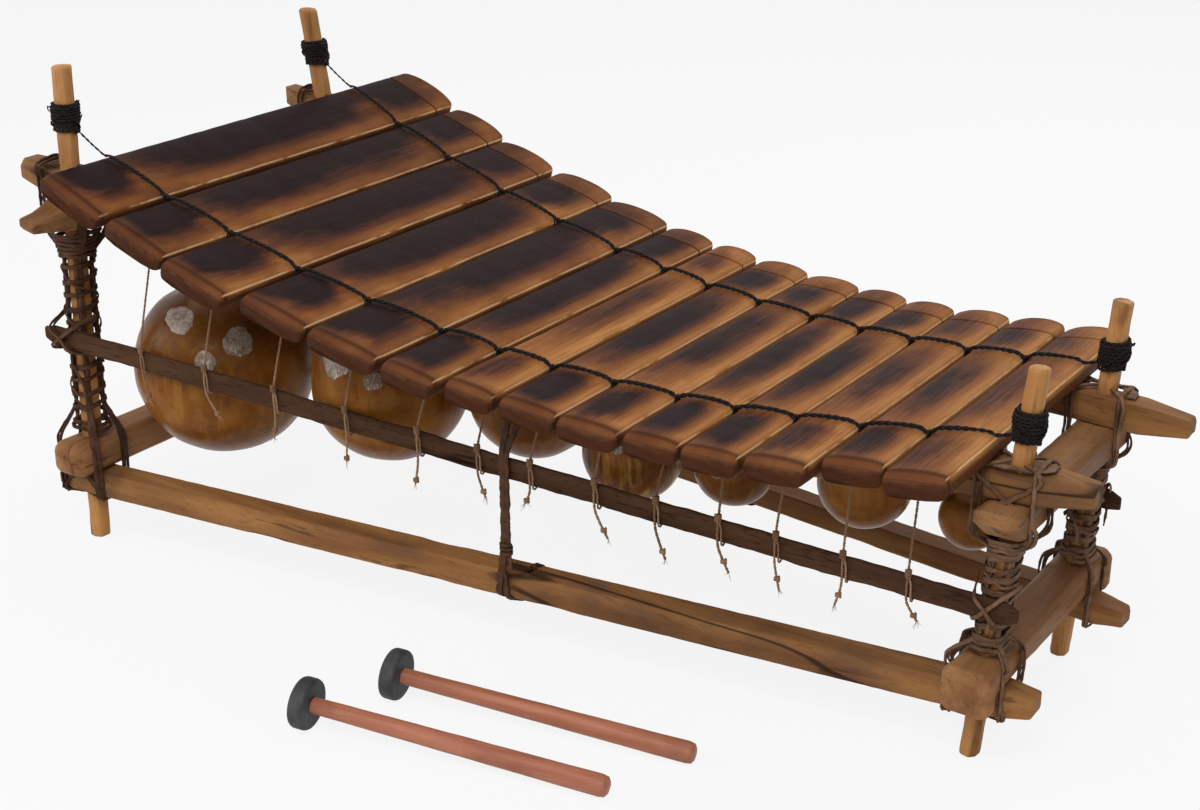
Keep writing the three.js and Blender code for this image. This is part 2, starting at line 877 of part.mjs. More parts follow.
const strips = {};
for (const side of ["near", "far"]) {
  const strip = stripLine(side);
  strips[side] = strip;
  const start = strip.fromX - stripBassOverhang;
  const end = strip.toX + stripTrebleOverhang;
  const rings = Array.from({ length: stripStations + 1 }, (_, i) => {
    const x = lerp(start, end, i / stripStations);
    return stripOutlineShares.map(([out, up]) =>
      point(x, strip.inner(x) + sides[side] * out * stripThickness, strip.z(x) + up * stripHeight),
    );
  });
  addPiece("strip_" + side, loft(rings), stripWood);
}

// Key cords. Each runs over the crowns of the keys, drops to their edges at each gap, and ends
// against the windings on the posts of its side.
const cordLift = 1.15 * (cordRadius + seatGap);

function cordGapLift(gap) {
  const reach = cordRadius + seatGap;
  return gap / 2 < reach ? Math.sqrt(reach ** 2 - (gap / 2) ** 2) + seatGap : 2 * seatGap;
}

function cordY(side, x) {
  const share = (x - bowStart.x) / (bowEnd.x - bowStart.x);
  return sides[side] * lerp(cordLineBassY, cordLineTrebleY, share);
}

function onCord(side, arc, drop, lift) {
  const place = onBow(arc, bowRadius + drop - lift);
  return place.setY(cordY(side, place.x));
}

const gapPoint = (side, i) =>
  onCord(side, gapArcs[i], keyCrownDrop, cordGapLift(keyGap * keyGapShares[i]));

function cordPoints(side) {
  const crown = [
    [-0.5, keyCrownDrop],
    [-0.36, 0.3 * keyCrownDrop],
    [0, 0],
    [0.36, 0.3 * keyCrownDrop],
    [0.5, keyCrownDrop],
  ];
  const points = [];
  keys.forEach((key, i) => {
    for (const [share, drop] of crown) {
      points.push(onCord(side, key.arc + share * key.width, drop, cordLift));
    }
    if (i < gapArcs.length) points.push(gapPoint(side, i));
  });
  const toPost = (post, from) => {
    const centre = post.at(post.windingLevel);
    const away = from.clone().sub(centre).setZ(0).normalize();
    const reach = lashSizes(post).strandOut + windingRadius;
    const end = reach + 2 * windingRadius;
    return [
      centre.clone().addScaledVector(away, end + 3 * cordRadius),
      centre.clone().addScaledVector(away, end),
    ];
  };
  const bass = toPost(posts["bass_" + side], points[0]);
  const treble = toPost(posts["treble_" + side], points[points.length - 1]);
  return [...bass.reverse(), ...points, ...treble];
}

// A drop string leaves the cord in a gap, passes over the rail's outer edge and crosses the
// front of the strip, and its tail hangs free below.
function stringPoints(side, i) {
  const sign = sides[side];
  const rail = upperLines[side];
  const strip = strips[side];
  const away = stringRadius + seatGap;
  const shoulderShare = upperRailOutlineShares[4][0];
  const edgeShare = upperRailOutlineShares[3][1];
  const start = gapPoint(side, i);
  const shoulder = onBow(gapArcs[i], railTopRadius - 1.2 * away);
  const x = shoulder.x;
  shoulder.y = rail.y(x) + sign * (shoulderShare * upperRailWidth + 0.8 * away);
  const drop = (1 - edgeShare) * upperRailHeight;
  const edge = point(x, rail.y(x) + sign * (upperRailWidth / 2 + away), shoulder.z - drop);
  const front = strip.outer(x) + sign * (stringRadius + seatGap);
  const stripFoot = strip.z(x) - stripHeight / 2;
  return [
    start,
    shoulder,
    edge,
    point(x, front, stripFoot + stripHeight),
    point(x, front, stripFoot),
    point(x + 2 * stringRadius, front - sign * stringRadius, stripFoot - stringTail),
  ];
}

for (const side of ["near", "far"]) {
  const cord = tubeThrough(cordPoints(side), cordRadius, cordSides);
  const strings = gapArcs.map((_, i) =>
    tubeThrough(stringPoints(side, i), stringRadius, stringSides),
  );
  addPiece("key_cord_" + side, join([cord, ...strings]), blackCord);
}

// Middle ties: each loops over the upper rail, runs in front of the strip and under the lower rail.
function tiePoints(side) {
  const sign = sides[side];
  const x = tieX[side];
  const away = tieRadius + seatGap;
  const beside = (line, width) => (at, out, z) =>
    point(at, line.y(at) + sign * out * (width / 2 + away), z);
  const upper = beside(upperLines[side], upperRailWidth);
  const lower = beside(lowerLines[side], lowerRailWidth);
  const strip = strips[side];
  const front = (at, z) => point(at, strip.outer(at) + sign * away, z);
  const stripTop = strip.z(x) + stripHeight / 2 + 2 * tieRadius;
  const stripFoot = strip.z(x) - stripHeight / 2 - 2 * tieRadius;
  const upperTop = upperRailTop(x) - away;
  const upperFoot = upperRailTop(x) - upperRailHeight - 1.5 * away;
  const lowerTop = lowerRailBottom + lowerRailHeight;
  const split = 1.6 * tieRadius;
  const frontX = x + tieLowerShift;
  const backX = x + 2 * split;
  return [
    lower(frontX, 1, lowerRailBottom + tieRadius),
    lower(frontX, 1, lowerTop),
    front(x - split, stripFoot),
    front(x - split, stripTop),
    upper(x, 1, upperFoot),
    upper(x, 1, upperTop),
    upper(x, -1, upperTop),
    upper(x, -1, upperFoot),
    front(x + split, stripTop),
    front(x + split, stripFoot),
    lower(backX, -1, lowerTop + away),
    lower(backX, -1, lowerRailBottom - away),
    lower(backX, 1, lowerRailBottom - away),
    lower(backX, 1, lowerTop - away),
  ];
}

for (const side of ["near", "far"]) {
  addPiece("tie_" + side, tubeThrough(tiePoints(side), tieRadius, tieSides), rawhide);
}

// Gourds: a round body, a neck that leans to the rail, and an open mouth close under the key.
// Each row gives the key and, in shares of the gourd unit, how far the middle of the body lies
// along from the key, across from the centre line and below the key's crown, and its radius.
const gourdShares = [
  [1, 0.214, 1.04, 1.969, 0.86],
  [2, -0.358, -1.11, 1.728, 0.89],
  [3, 0.467, 0.96, 1.394, 0.77],
  [4, 0.201, -1.0, 1.072, 0.74],
  [5, 0.295, 0.95, 0.891, 0.55],
  [6, 0.103, -0.55, 0.742, 0.62],
  [7, 0.109, 0.86, 0.768, 0.45],
  [8, 0.225, -0.8, 0.825, 0.45],
  [9, 0.021, 0.82, 0.753, 0.4],
  [10, 0.041, -0.7, 0.732, 0.35],
  [11, -0.001, 0.75, 0.720, 0.34],
  [12, 0.112, -0.5, 0.706, 0.4],
  [13, -0.019, 0.67, 0.783, 0.3],
  [14, -0.050, -0.47, 0.920, 0.27],
];

const gourdPlaces = gourdShares.map(([number, along, across, below, radius]) => {
  const key = keys[number - 1];
  const crown = onBow(key.arc, bowRadius);
  return {
    number,
    key,
    x: crown.x + along * gourdUnit,
    y: across * gourdUnit,
    z: crown.z - below * gourdUnit,
    radius: radius * gourdUnit,
  };
});

// The body's outline in shares of its radius, from the bottom to the shoulder.
const gourdOutlineShares = [
  [0, -1],
  [0.5, -0.87],
  [0.87, -0.5],
  [1, 0],
  [0.88, 0.42],
];
// Places on a facet where its distance to the rail is measured, and halvings of the search
const facetSteps = 6;
const facetShares = [];
for (let b = 0; b <= facetSteps; b++) {
  for (let c = 0; b + c <= facetSteps; c++) facetShares.push([b / facetSteps, c / facetSteps]);
}
const leanPasses = 12;

const gourdHollowShares = [
  [0.96, 0],
  [0.83, -0.48],
  [0, -0.97],
];

// How far a point is from the inner lower corner of an upper rail
function railDistance(side, at) {
  const sign = sides[side];
  const inner = sign * upperLines[side].y(at.x) - upperRailWidth / 2;
  const foot = upperRailTop(at.x) - upperRailHeight;
  return Math.hypot(Math.max(0, inner - sign * at.y), Math.max(0, foot - at.z));
}

function gourdGeometry(place) {
  const { radius, key } = place;
  const side = place.y < 0 ? "near" : "far";
  const mouthRadius = Math.max(mouthRadiusLeast, mouthRadiusShare * radius);
  const mouth = onBow(key.arc, bowRadius + keyThickness + mouthDrop);
  const mouthUp = mouth.z - place.z;
  const shoulderUp = Math.min(shoulderShare * radius, mouthUp - 2 * gourdWall);
  const neckUp = (shoulderUp + mouthUp) / 2;
  const shoulder = lerp(mouthRadius, radius, 0.2);
  const outer = [
    ...gourdOutlineShares.map(([out, up]) => [out * radius, up * radius]),
    [shoulder, shoulderUp],
    [mouthRadius, neckUp],
    [mouthRadius, mouthUp],
  ];
  const bore = mouthRadius - gourdWall;
  const shrink = (radius - gourdWall) / (gourdHollowShares[0][0] * radius);
  const profile = [
    ...outer,
    [bore, mouthUp],
    [bore, neckUp],
    [shoulder - gourdWall, shoulderUp - gourdWall / 2],
    ...gourdHollowShares.map(([out, up]) => [out * radius * shrink, up * radius * shrink]),
  ];
  const shape = profile.map(([out, up]) => new THREE.Vector2(out, up));
  const lathe = new THREE.LatheGeometry(shape, gourdSegments);
  lathe.rotateX(Math.PI / 2);
  lathe.deleteAttribute("normal");
  lathe.deleteAttribute("uv");
  const geometry = mergeVertices(lathe);
  const at = geometry.getAttribute("position");
  const slope = Math.tan(key.arc / bowRadius);
  const leanUp = upperRailTop(mouth.x + Math.sign(slope) * mouthRadius) - upperRailHeight - place.z;
  const raw = Array.from({ length: at.count }, (_, i) =>
    new THREE.Vector3().fromBufferAttribute(at, i),
  );
  const formed = (lean) =>
    raw.map(({ x, y, z }) => {
      const share = THREE.MathUtils.clamp(z / leanUp, 0, 1) ** 2;
      const neckShare = THREE.MathUtils.clamp(z / neckUp, 0, 1) ** 2;
      const tilt = slope * x * THREE.MathUtils.smoothstep(z, 0, mouthUp);
      return point(
        x + neckShare * (mouth.x - place.x),
        y + share * lean * sides[side],
        z + tilt,
      );
    });
  // The upper part leans over until it rests against the rail's inner corner.
  const centre = point(place.x, place.y, place.z);
  const index = geometry.index.array;
  const railGap = (points) => {
    let least = Infinity;
    for (let i = 0; i < index.length; i += 3) {
      const [a, b, c] = [0, 1, 2].map((k) => points[index[i + k]]);
      for (const [shareB, shareC] of facetShares) {
        const on = a.clone().multiplyScalar(1 - shareB - shareC);
        on.addScaledVector(b, shareB).addScaledVector(c, shareC).add(centre);
        least = Math.min(least, railDistance(side, on));
      }
    }
    return least;
  };
  let low = -radius;
  let high = radius;
  for (let pass = 0; pass < leanPasses; pass++) {
    const lean = (low + high) / 2;
    if (railGap(formed(lean)) > 1.5 * seatGap) low = lean;
    else high = lean;
  }
  formed(low).forEach(({ x, y, z }, i) => at.setXYZ(i, x, y, z));
  return faceOutward(geometry);
}

for (const place of gourdPlaces) {
  const name = "gourd_" + String(place.number).padStart(2, "0");
  const mesh = addPiece(name, gourdGeometry(place), gourdShell);
  mesh.position.set(place.x, place.y, place.z);
}

// Mallets. Each lies on its head's rim and the stick's free end.
function roundedProfile(radius, start, end, round) {
  return [
    [0, start],
    [radius - round, start],
    [radius, start + round],
    [radius, end - round],
    [radius - round, end],
    [0, end],
  ].map(([out, along]) => new THREE.Vector2(out, along));
}

function stickGeometry() {
  const profile = [
    [0, -malletHeadThickness / 2],
    [stickHeadRadius, -malletHeadThickness / 2],
    [stickHeadRadius, malletHeadThickness],
    [stickFreeRadius, malletLength - stickRound],
    [stickFreeRadius - stickRound, malletLength],
    [0, malletLength],
  ].map(([out, along]) => new THREE.Vector2(out, along));
  return new THREE.LatheGeometry(profile, malletSegments).rotateZ(-Math.PI / 2);
}

function headGeometry() {
  const disc = new THREE.LatheGeometry(
    roundedProfile(
      malletHeadRadius,
      -malletHeadThickness / 2,
      malletHeadThickness / 2,
      malletHeadRound,
    ),
    malletSegments,
  );
  const boreRadius = stickHeadRadius + seatGap;
  const bore = new THREE.CylinderGeometry(
    boreRadius,
    boreRadius,
    malletHeadThickness + 2 * cutOverrun,
    malletSegments,
  );
  return cut(disc, [bore]).rotateZ(-Math.PI / 2);
}

const malletPlaces = [
  { name: "near", x: malletNearX, y: malletNearY },
  { name: "far", x: malletFarX, y: malletFarY },
];

for (const { name, x, y } of malletPlaces) {
  const mallet = new THREE.Group();
  balafon.add(mallet);
  addPiece("mallet_stick_" + name, stickGeometry(), stickWood, mallet);
  addPiece("mallet_head_" + name, headGeometry(), rubber, mallet);
  mallet.rotation.order = "ZYX";
  mallet.rotation.z = THREE.MathUtils.degToRad(malletTurn);
  mallet.rotation.y = Math.asin((malletHeadRadius - stickFreeRadius) / malletLength);
  mallet.position.set(x, y, 0);
  mallet.updateMatrixWorld(true);
  mallet.position.z = -new THREE.Box3().setFromObject(mallet, true).min.z;
}

// The origin goes under the middle of the whole set, on the floor.
const extent = new THREE.Box3().setFromObject(balafon, true);
const middle = extent.getCenter(new THREE.Vector3());
balafon.position.set(-middle.x, -middle.y, -extent.min.z);

export default balafon;
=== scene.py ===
"""Looks of a balafon: scorched wooden keys on a bowed pole frame, gourds, cords and mallets."""
import math
import bmesh
import bpy
import numpy as np
from mathutils import Matrix, Vector
from mathutils.bvhtree import BVHTree


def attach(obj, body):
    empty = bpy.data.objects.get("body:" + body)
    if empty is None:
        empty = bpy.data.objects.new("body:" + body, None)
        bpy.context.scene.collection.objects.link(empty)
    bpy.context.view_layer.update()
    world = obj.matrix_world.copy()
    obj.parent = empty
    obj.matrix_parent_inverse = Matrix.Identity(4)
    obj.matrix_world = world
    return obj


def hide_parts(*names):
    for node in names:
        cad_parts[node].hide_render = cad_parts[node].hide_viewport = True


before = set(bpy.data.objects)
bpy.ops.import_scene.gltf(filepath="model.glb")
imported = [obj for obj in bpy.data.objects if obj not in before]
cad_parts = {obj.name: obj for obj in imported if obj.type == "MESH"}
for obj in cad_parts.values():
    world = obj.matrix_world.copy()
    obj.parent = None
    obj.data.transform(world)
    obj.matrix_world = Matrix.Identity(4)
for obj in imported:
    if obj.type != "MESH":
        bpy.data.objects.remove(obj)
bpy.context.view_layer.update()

bpy.context.scene.view_settings.view_transform = "Standard"
MM = 0.001
BODY = "instrument"
TAU = 2 * math.pi
UP = np.array([0, 0, 1])

# Sizes of the object in millimetres, as in its solids
BOW_RADIUS = 1540
BOW_LOW_HEIGHT = 265
BOW_LOW_X = 170
BASS_ARC_SHARE = 0.7
KEY_WIDTH = 74.8
KEY_THICKNESS = 20
KEY_HALF_LENGTH = 262
KEY_GAP = 4.6
KEY_CROWN = 5
GROOVE_AT = 34  # from a key's far end
# For each key its width, near and far ends as shares, how dark it is burnt and how brown it is
KEY_SHARES = [
    (1, 0.958, 1.036, 0.92, 1.3), (0.945, 0.942, 1.018, 0.6, 1.45), (0.98, 0.953, 0.98, 0.88, 1.3),
    (0.965, 0.887, 0.972, 0.97, 1.15), (0.985, 0.875, 0.933, 0.7, 1.3),
    (0.715, 0.865, 0.904, 0.9, 1.0), (0.63, 0.82, 0.89, 0.28, 0.3),
    (0.735, 0.803, 0.876, 0.86, 0.6), (0.745, 0.803, 0.854, 0.6, 0.45),
    (0.655, 0.781, 0.832, 0.74, 0.45),
    (0.66, 0.773, 0.795, 0.8, 0.45), (0.69, 0.75, 0.789, 0.42, 0.45),
    (0.675, 0.672, 0.76, 0.5, 0.45), (0.675, 0.713, 0.712, 0.1, 0.7)]
GAP_SHARES = [1.6, 0.8, 1.6, 0.7, 1.4, 1.2, 1.2, 0.6, 0.8, 0.7, 0.6, 0.9, 1]
POSTS = {
    "bass_near": dict(foot=(-453.73, -212), top=(-485.73, -169), height=465.5, radius=10),
    "bass_far": dict(foot=(-453.73, 212), top=(-485.73, 169), height=465.5, radius=10),
    "treble_near": dict(foot=(433.83, -82), top=(463.33, -87.5), height=346.8, radius=8.75),
    "treble_far": dict(foot=(433.83, 112), top=(463.33, 87.5), height=346.8, radius=8.75),
}
UPPER_WIDTH, UPPER_HEIGHT = 30, 26
UPPER_BASS_SLOPE, UPPER_TREBLE_SLOPE = -0.18, 0.02
LOWER_WIDTH, LOWER_HEIGHT, LOWER_BOTTOM = 31, 23, 48
SEAT = 0.3
LOWER_LEVEL = LOWER_BOTTOM + LOWER_HEIGHT / 2
LOWER_TOP = LOWER_BOTTOM + LOWER_HEIGHT
LOWER_CROSS_BOTTOM = LOWER_TOP + SEAT
# Long rails: how far they pass the posts, shares and lengths of their tapered tips, and sections
RAILS = {
    "upper": dict(
        width=UPPER_WIDTH, height=UPPER_HEIGHT, bass=53, near=60, far=76, tips=(0.74, 0.62, 30, 42),
        outline=[(-0.5, 0), (0.42, 0), (0.5, 0.08), (0.5, 0.66), (0.24, 1), (-0.5, 1)],
        seed=31, keep_top=0.8),
    "lower": dict(
        width=LOWER_WIDTH, height=LOWER_HEIGHT, bass=36, near=45, far=54, tips=(0.75, 0.72, 20, 26),
        outline=[(-0.5, 0.12), (-0.4, 0), (0.5, 0), (0.5, 0.6), (0.3, 1), (-0.5, 1)],
        seed=41, keep_top=None),
}
# Cross rails. ends: at distances from an end, the shares of width and height and a drop
CROSS_RAILS = {
    ("lower", "bass"): dict(width=40, height=34, over=38, slope=0, seed=51, ends=[
        (0, 0.55, 0.5, -9), (2.5, 0.8, 0.78, -4), (7, 0.97, 0.96, -0.5), (13, 1, 1, 0)]),
    ("lower", "treble"): dict(width=39, height=27, over=38, slope=0, seed=52, ends=[
        (0, 1.02, 1.4, -1.5), (1.5, 1.1, 1.5, 0), (9, 1.12, 1.51, 0), (13, 1.06, 1.3, 0),
        (16, 1, 1, 0)]),
    ("upper", "bass"): dict(width=40, height=26, over=58, slope=UPPER_BASS_SLOPE, seed=53, ends=[
        (0, 0.42, 0.34, -9), (2.5, 0.52, 0.44, -9), (18, 0.66, 0.54, -8), (34, 0.85, 0.74, -5),
        (46, 1, 1, 0)]),
    ("upper", "treble"): dict(
        width=39, height=28, over=36, slope=UPPER_TREBLE_SLOPE, seed=54,
        ends=[(0, 0.85, 0.42, 0), (2.5, 0.97, 0.5, 0), (18, 1, 1, 0)]),
}
CROSS_OUTLINE = [
    (-0.5, 0.15), (-0.36, 0), (0.36, 0), (0.5, 0.15), (0.5, 0.85), (0.36, 1), (-0.36, 1),
    (-0.5, 0.85)]
CORD_BASS_Y, CORD_TREBLE_Y = 170, 92
CORD_RADIUS = 2
CORD_REACH = CORD_RADIUS + SEAT
STRIP_HEIGHT, STRIP_THICKNESS, STRIP_OVERHANG = 21, 6, 24
STRIP_HALF = STRIP_HEIGHT / 2
STRIP_Z = {"bass_near": 210, "bass_far": 210, "treble_near": 148, "treble_far": 156}
WINDING_SHARE = {"bass": 0.897, "treble": 0.86}
SIGN = {"near": -1, "far": 1}
MALLETS = {"near": (-36.5, -358.3), "far": (-5, -280.7)}
MALLET_TURN = math.radians(12.3)
MALLET_LENGTH, HEAD_RADIUS, HEAD_THICKNESS = 270, 22.5, 14
STICK_HEAD, STICK_FREE = 7.5, 9.5

# The camera, solved from the photograph
PHOTO_WIDTH, PHOTO_HEIGHT = 1200, 810
FOCAL_PIXELS = 1844.4
CAMERA_AT = (907.1, -1303.3, 844.9)
CAMERA_AZIMUTH = 0.60133
CAMERA_ELEVATION = 0.39913
WORLD_LIGHT = 0.45


def node_points(name):
    """A solid's vertices, in the row's frame and in metres."""
    return np.array([v.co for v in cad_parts[name].data.vertices])


def foot_shift():
    """How far the design's own frame lies from the row's frame, read from one post's foot."""
    points = node_points("post_bass_near")
    foot = points[points[:, 2] < 0.1 * MM].mean(0)
    return foot - np.array([*POSTS["bass_near"]["foot"], 0]) * MM


SHIFT = foot_shift()


def to_row(points):
    return np.asarray(points, float) * MM + SHIFT


def from_row(points):
    return (np.asarray(points, float) - SHIFT) / MM


def link(thing):
    bpy.context.scene.collection.objects.link(thing)
    return thing


# Camera

def camera_axes():
    ca, sa = math.cos(CAMERA_AZIMUTH), math.sin(CAMERA_AZIMUTH)
    ce, se = math.cos(CAMERA_ELEVATION), math.sin(CAMERA_ELEVATION)
    right = Vector((ca, sa, 0))
    forward = Vector((-sa * ce, ca * ce, -se))
    return right, right.cross(forward), forward


def add_camera():
    right, up, forward = camera_axes()
    data = bpy.data.cameras.new("camera")
    data.sensor_fit = "HORIZONTAL"
    data.sensor_width = 36
    data.lens = FOCAL_PIXELS * data.sensor_width / PHOTO_WIDTH
    data.clip_end = 20
    camera = link(bpy.data.objects.new("camera", data))
    turn = Matrix((right, up, -forward)).transposed().to_4x4()
    camera.matrix_world = Matrix.Translation(Vector(to_row(CAMERA_AT))) @ turn
    bpy.context.scene.camera = camera


def pixel_ray(u, v):
    """The line of sight through a pixel of the photograph, in the row's frame."""
    right, up, forward = camera_axes()
    across = float(u - PHOTO_WIDTH / 2) / FOCAL_PIXELS
    down = float(v - PHOTO_HEIGHT / 2) / FOCAL_PIXELS
    return Vector(to_row(CAMERA_AT)), (forward + across * right - down * up).normalized()


# Node trees

class Value:
    """A node's output. Sums and products of values become math nodes of the same tree."""

    def __init__(self, nodes, socket):
        self.nodes, self.socket = nodes, socket

    def __add__(self, other):
        return self.nodes.math("ADD", self, other)

    def __sub__(self, other):
        return self.nodes.math("SUBTRACT", self, other)

    def __mul__(self, other):
        return self.nodes.math("MULTIPLY", self, other)

    def __abs__(self):
        return self.nodes.math("ABSOLUTE", self)

    def step(self, low, high):
        """0 below low, 1 above high, smooth between them. low may be the larger one."""
        made = self.nodes.node("ShaderNodeMapRange", self, interpolation_type="SMOOTHSTEP")
        ends = (low, high, 0, 1) if low <= high else (high, low, 1, 0)
        for key, value in zip(("From Min", "From Max", "To Min", "To Max"), ends):
            made.inputs[key].default_value = value
        return Value(self.nodes, made.outputs[0])


class Nodes:
    """A node tree. An input can be a number, a colour, a socket or a Value."""

    def __init__(self, owner, output):
        owner.use_nodes = True
        self.tree = owner.node_tree
        self.tree.nodes.clear()
        self.out = self.node(output)

    def node(self, kind, *inputs, **settings):
        made = self.tree.nodes.new(kind)
        for key, value in settings.items():
            setattr(made, key, value)
        for socket, value in zip(made.inputs, inputs):
            self.put(socket, value)
        return made

    def put(self, socket, value):
        if isinstance(value, Value):
            value = value.socket
        if isinstance(value, bpy.types.NodeSocket):
            self.tree.links.new(value, socket)
        elif socket.type == "RGBA" and len(value) == 3:
            socket.default_value = (*value, 1)
        else:
            socket.default_value = value

    def math(self, operation, *inputs, clamp=False):
        made = self.node("ShaderNodeMath", *inputs, operation=operation, use_clamp=clamp)
        return Value(self, made.outputs[0])

    def seen(self):
        """1 for rays that look at a surface, 0 for those that only bring it light."""
        kinds = self.node("ShaderNodeLightPath").outputs
        seen = self.math("MAXIMUM", kinds["Is Camera Ray"], kinds["Is Glossy Ray"])
        return self.math("MAXIMUM", seen, kinds["Is Transmission Ray"])

    def blend(self, share, a, b):
        """Ends the tree in a blend of two shaders."""
        made = self.node("ShaderNodeMixShader", share, a.outputs[0], b.outputs[0])
        self.put(self.out.inputs[0], made.outputs[0])


class Paint(Nodes):
    """One material. Its colour and its normal are built up in layers."""

    def __init__(self, name):
        self.material = bpy.data.materials.new(name)
        super().__init__(self.material, "ShaderNodeOutputMaterial")
        self.place = self.node("ShaderNodeTexCoord").outputs["Object"]
        self.normal = None

    def attribute(self, name, output="Fac"):
        made = self.node("ShaderNodeAttribute", attribute_name=name)
        return Value(self, made.outputs[output])

    def attributes(self, names):
        return [self.attribute(name) for name in names.split()]

    def noise(self, scale, size, detail, rough, place=None):
        mapping = self.node("ShaderNodeMapping", place or self.place)
        mapping.inputs["Scale"].default_value = scale
        made = self.node("ShaderNodeTexNoise", mapping.outputs[0])
        for key, value in (("Scale", size), ("Detail", detail), ("Roughness", rough)):
            made.inputs[key].default_value = value
        return Value(self, made.outputs["Fac"])

    def mix(self, share, a, b, blend="MIX"):
        made = self.node("ShaderNodeMix", share, data_type="RGBA", blend_type=blend)
        self.put(made.inputs[6], a)
        self.put(made.inputs[7], b)
        return Value(self, made.outputs[2])

    def base(self, share, a, b):
        self.color = self.mix(share, a, b)

    def stain(self, share, color):
        """Lays a colour over the ones before it. share is a mask from 0 to 1."""
        self.color = self.mix(share, self.color, color)

    def bump(self, height, strength, distance):
        made = self.node("ShaderNodeBump")
        made.inputs["Strength"].default_value = strength
        made.inputs["Distance"].default_value = distance
        self.put(made.inputs["Height"], height)
        if self.normal:
            self.put(made.inputs["Normal"], self.normal)
        self.normal = made.outputs[0]

    def finish(self, rough, **plain):
        shader = self.node("ShaderNodeBsdfPrincipled")
        self.put(shader.inputs["Base Color"], self.color)
        self.put(shader.inputs["Roughness"], rough)
        self.put(shader.inputs["Normal"], self.normal)
        for key, value in plain.items():
            shader.inputs[key.replace("_", " ")].default_value = value
        self.put(self.out.inputs[0], shader.outputs[0])
        return self.material


# Materials

EVEN = (1, 1, 1)


def wood(name, axis, light, middle, dark, rough, streak=0.5, soil=0.35, shine=0.1):
    """Plain hewn wood: long grain, darker streaks, pores, grime and drying cracks."""
    paint = Paint(name)
    seed = paint.attribute("seed")
    grain = [0.05 if letter == axis else 1.0 for letter in "xyz"]
    broad = paint.noise(grain, 28, 3, 0.55)
    fine = paint.noise(grain, 420, 5, 0.65)
    pores = paint.noise(grain, 1400, 2, 0.5)
    patch = paint.noise(EVEN, 9, 3, 0.6)
    scar = paint.noise(grain, 75, 3, 0.7)
    paint.base(broad.step(0.35, 0.68), light, middle)
    paint.stain(fine.step(0.52, 0.72) * streak, dark)
    paint.stain(pores.step(0.58, 0.75) * 0.35, dark)
    paint.stain(patch.step(0.5, 0.74) * soil, (0.06, 0.04, 0.03))
    paint.stain(scar.step(0.6, 0.68) * 0.6, dark)
    # The cracks are thin dark lines that run a long way with the grain.
    split = paint.noise(grain, 13, 2, 0.4)
    crack = split.step(0.548, 0.556) * split.step(0.572, 0.562) * patch.step(0.42, 0.56)
    paint.stain(crack * 0.85, tuple(0.5 * c for c in dark))
    tone = seed * 0.3 + 0.85
    shade = paint.node("ShaderNodeCombineColor", tone, tone, tone)
    paint.color = paint.mix(1.0, paint.color, shade.outputs[0], "MULTIPLY")
    paint.bump(fine + pores * 0.5, 0.35, 0.0006)
    return paint.finish(fine * 0.25 + (rough - 0.12), Specular_IOR_Level=shine)


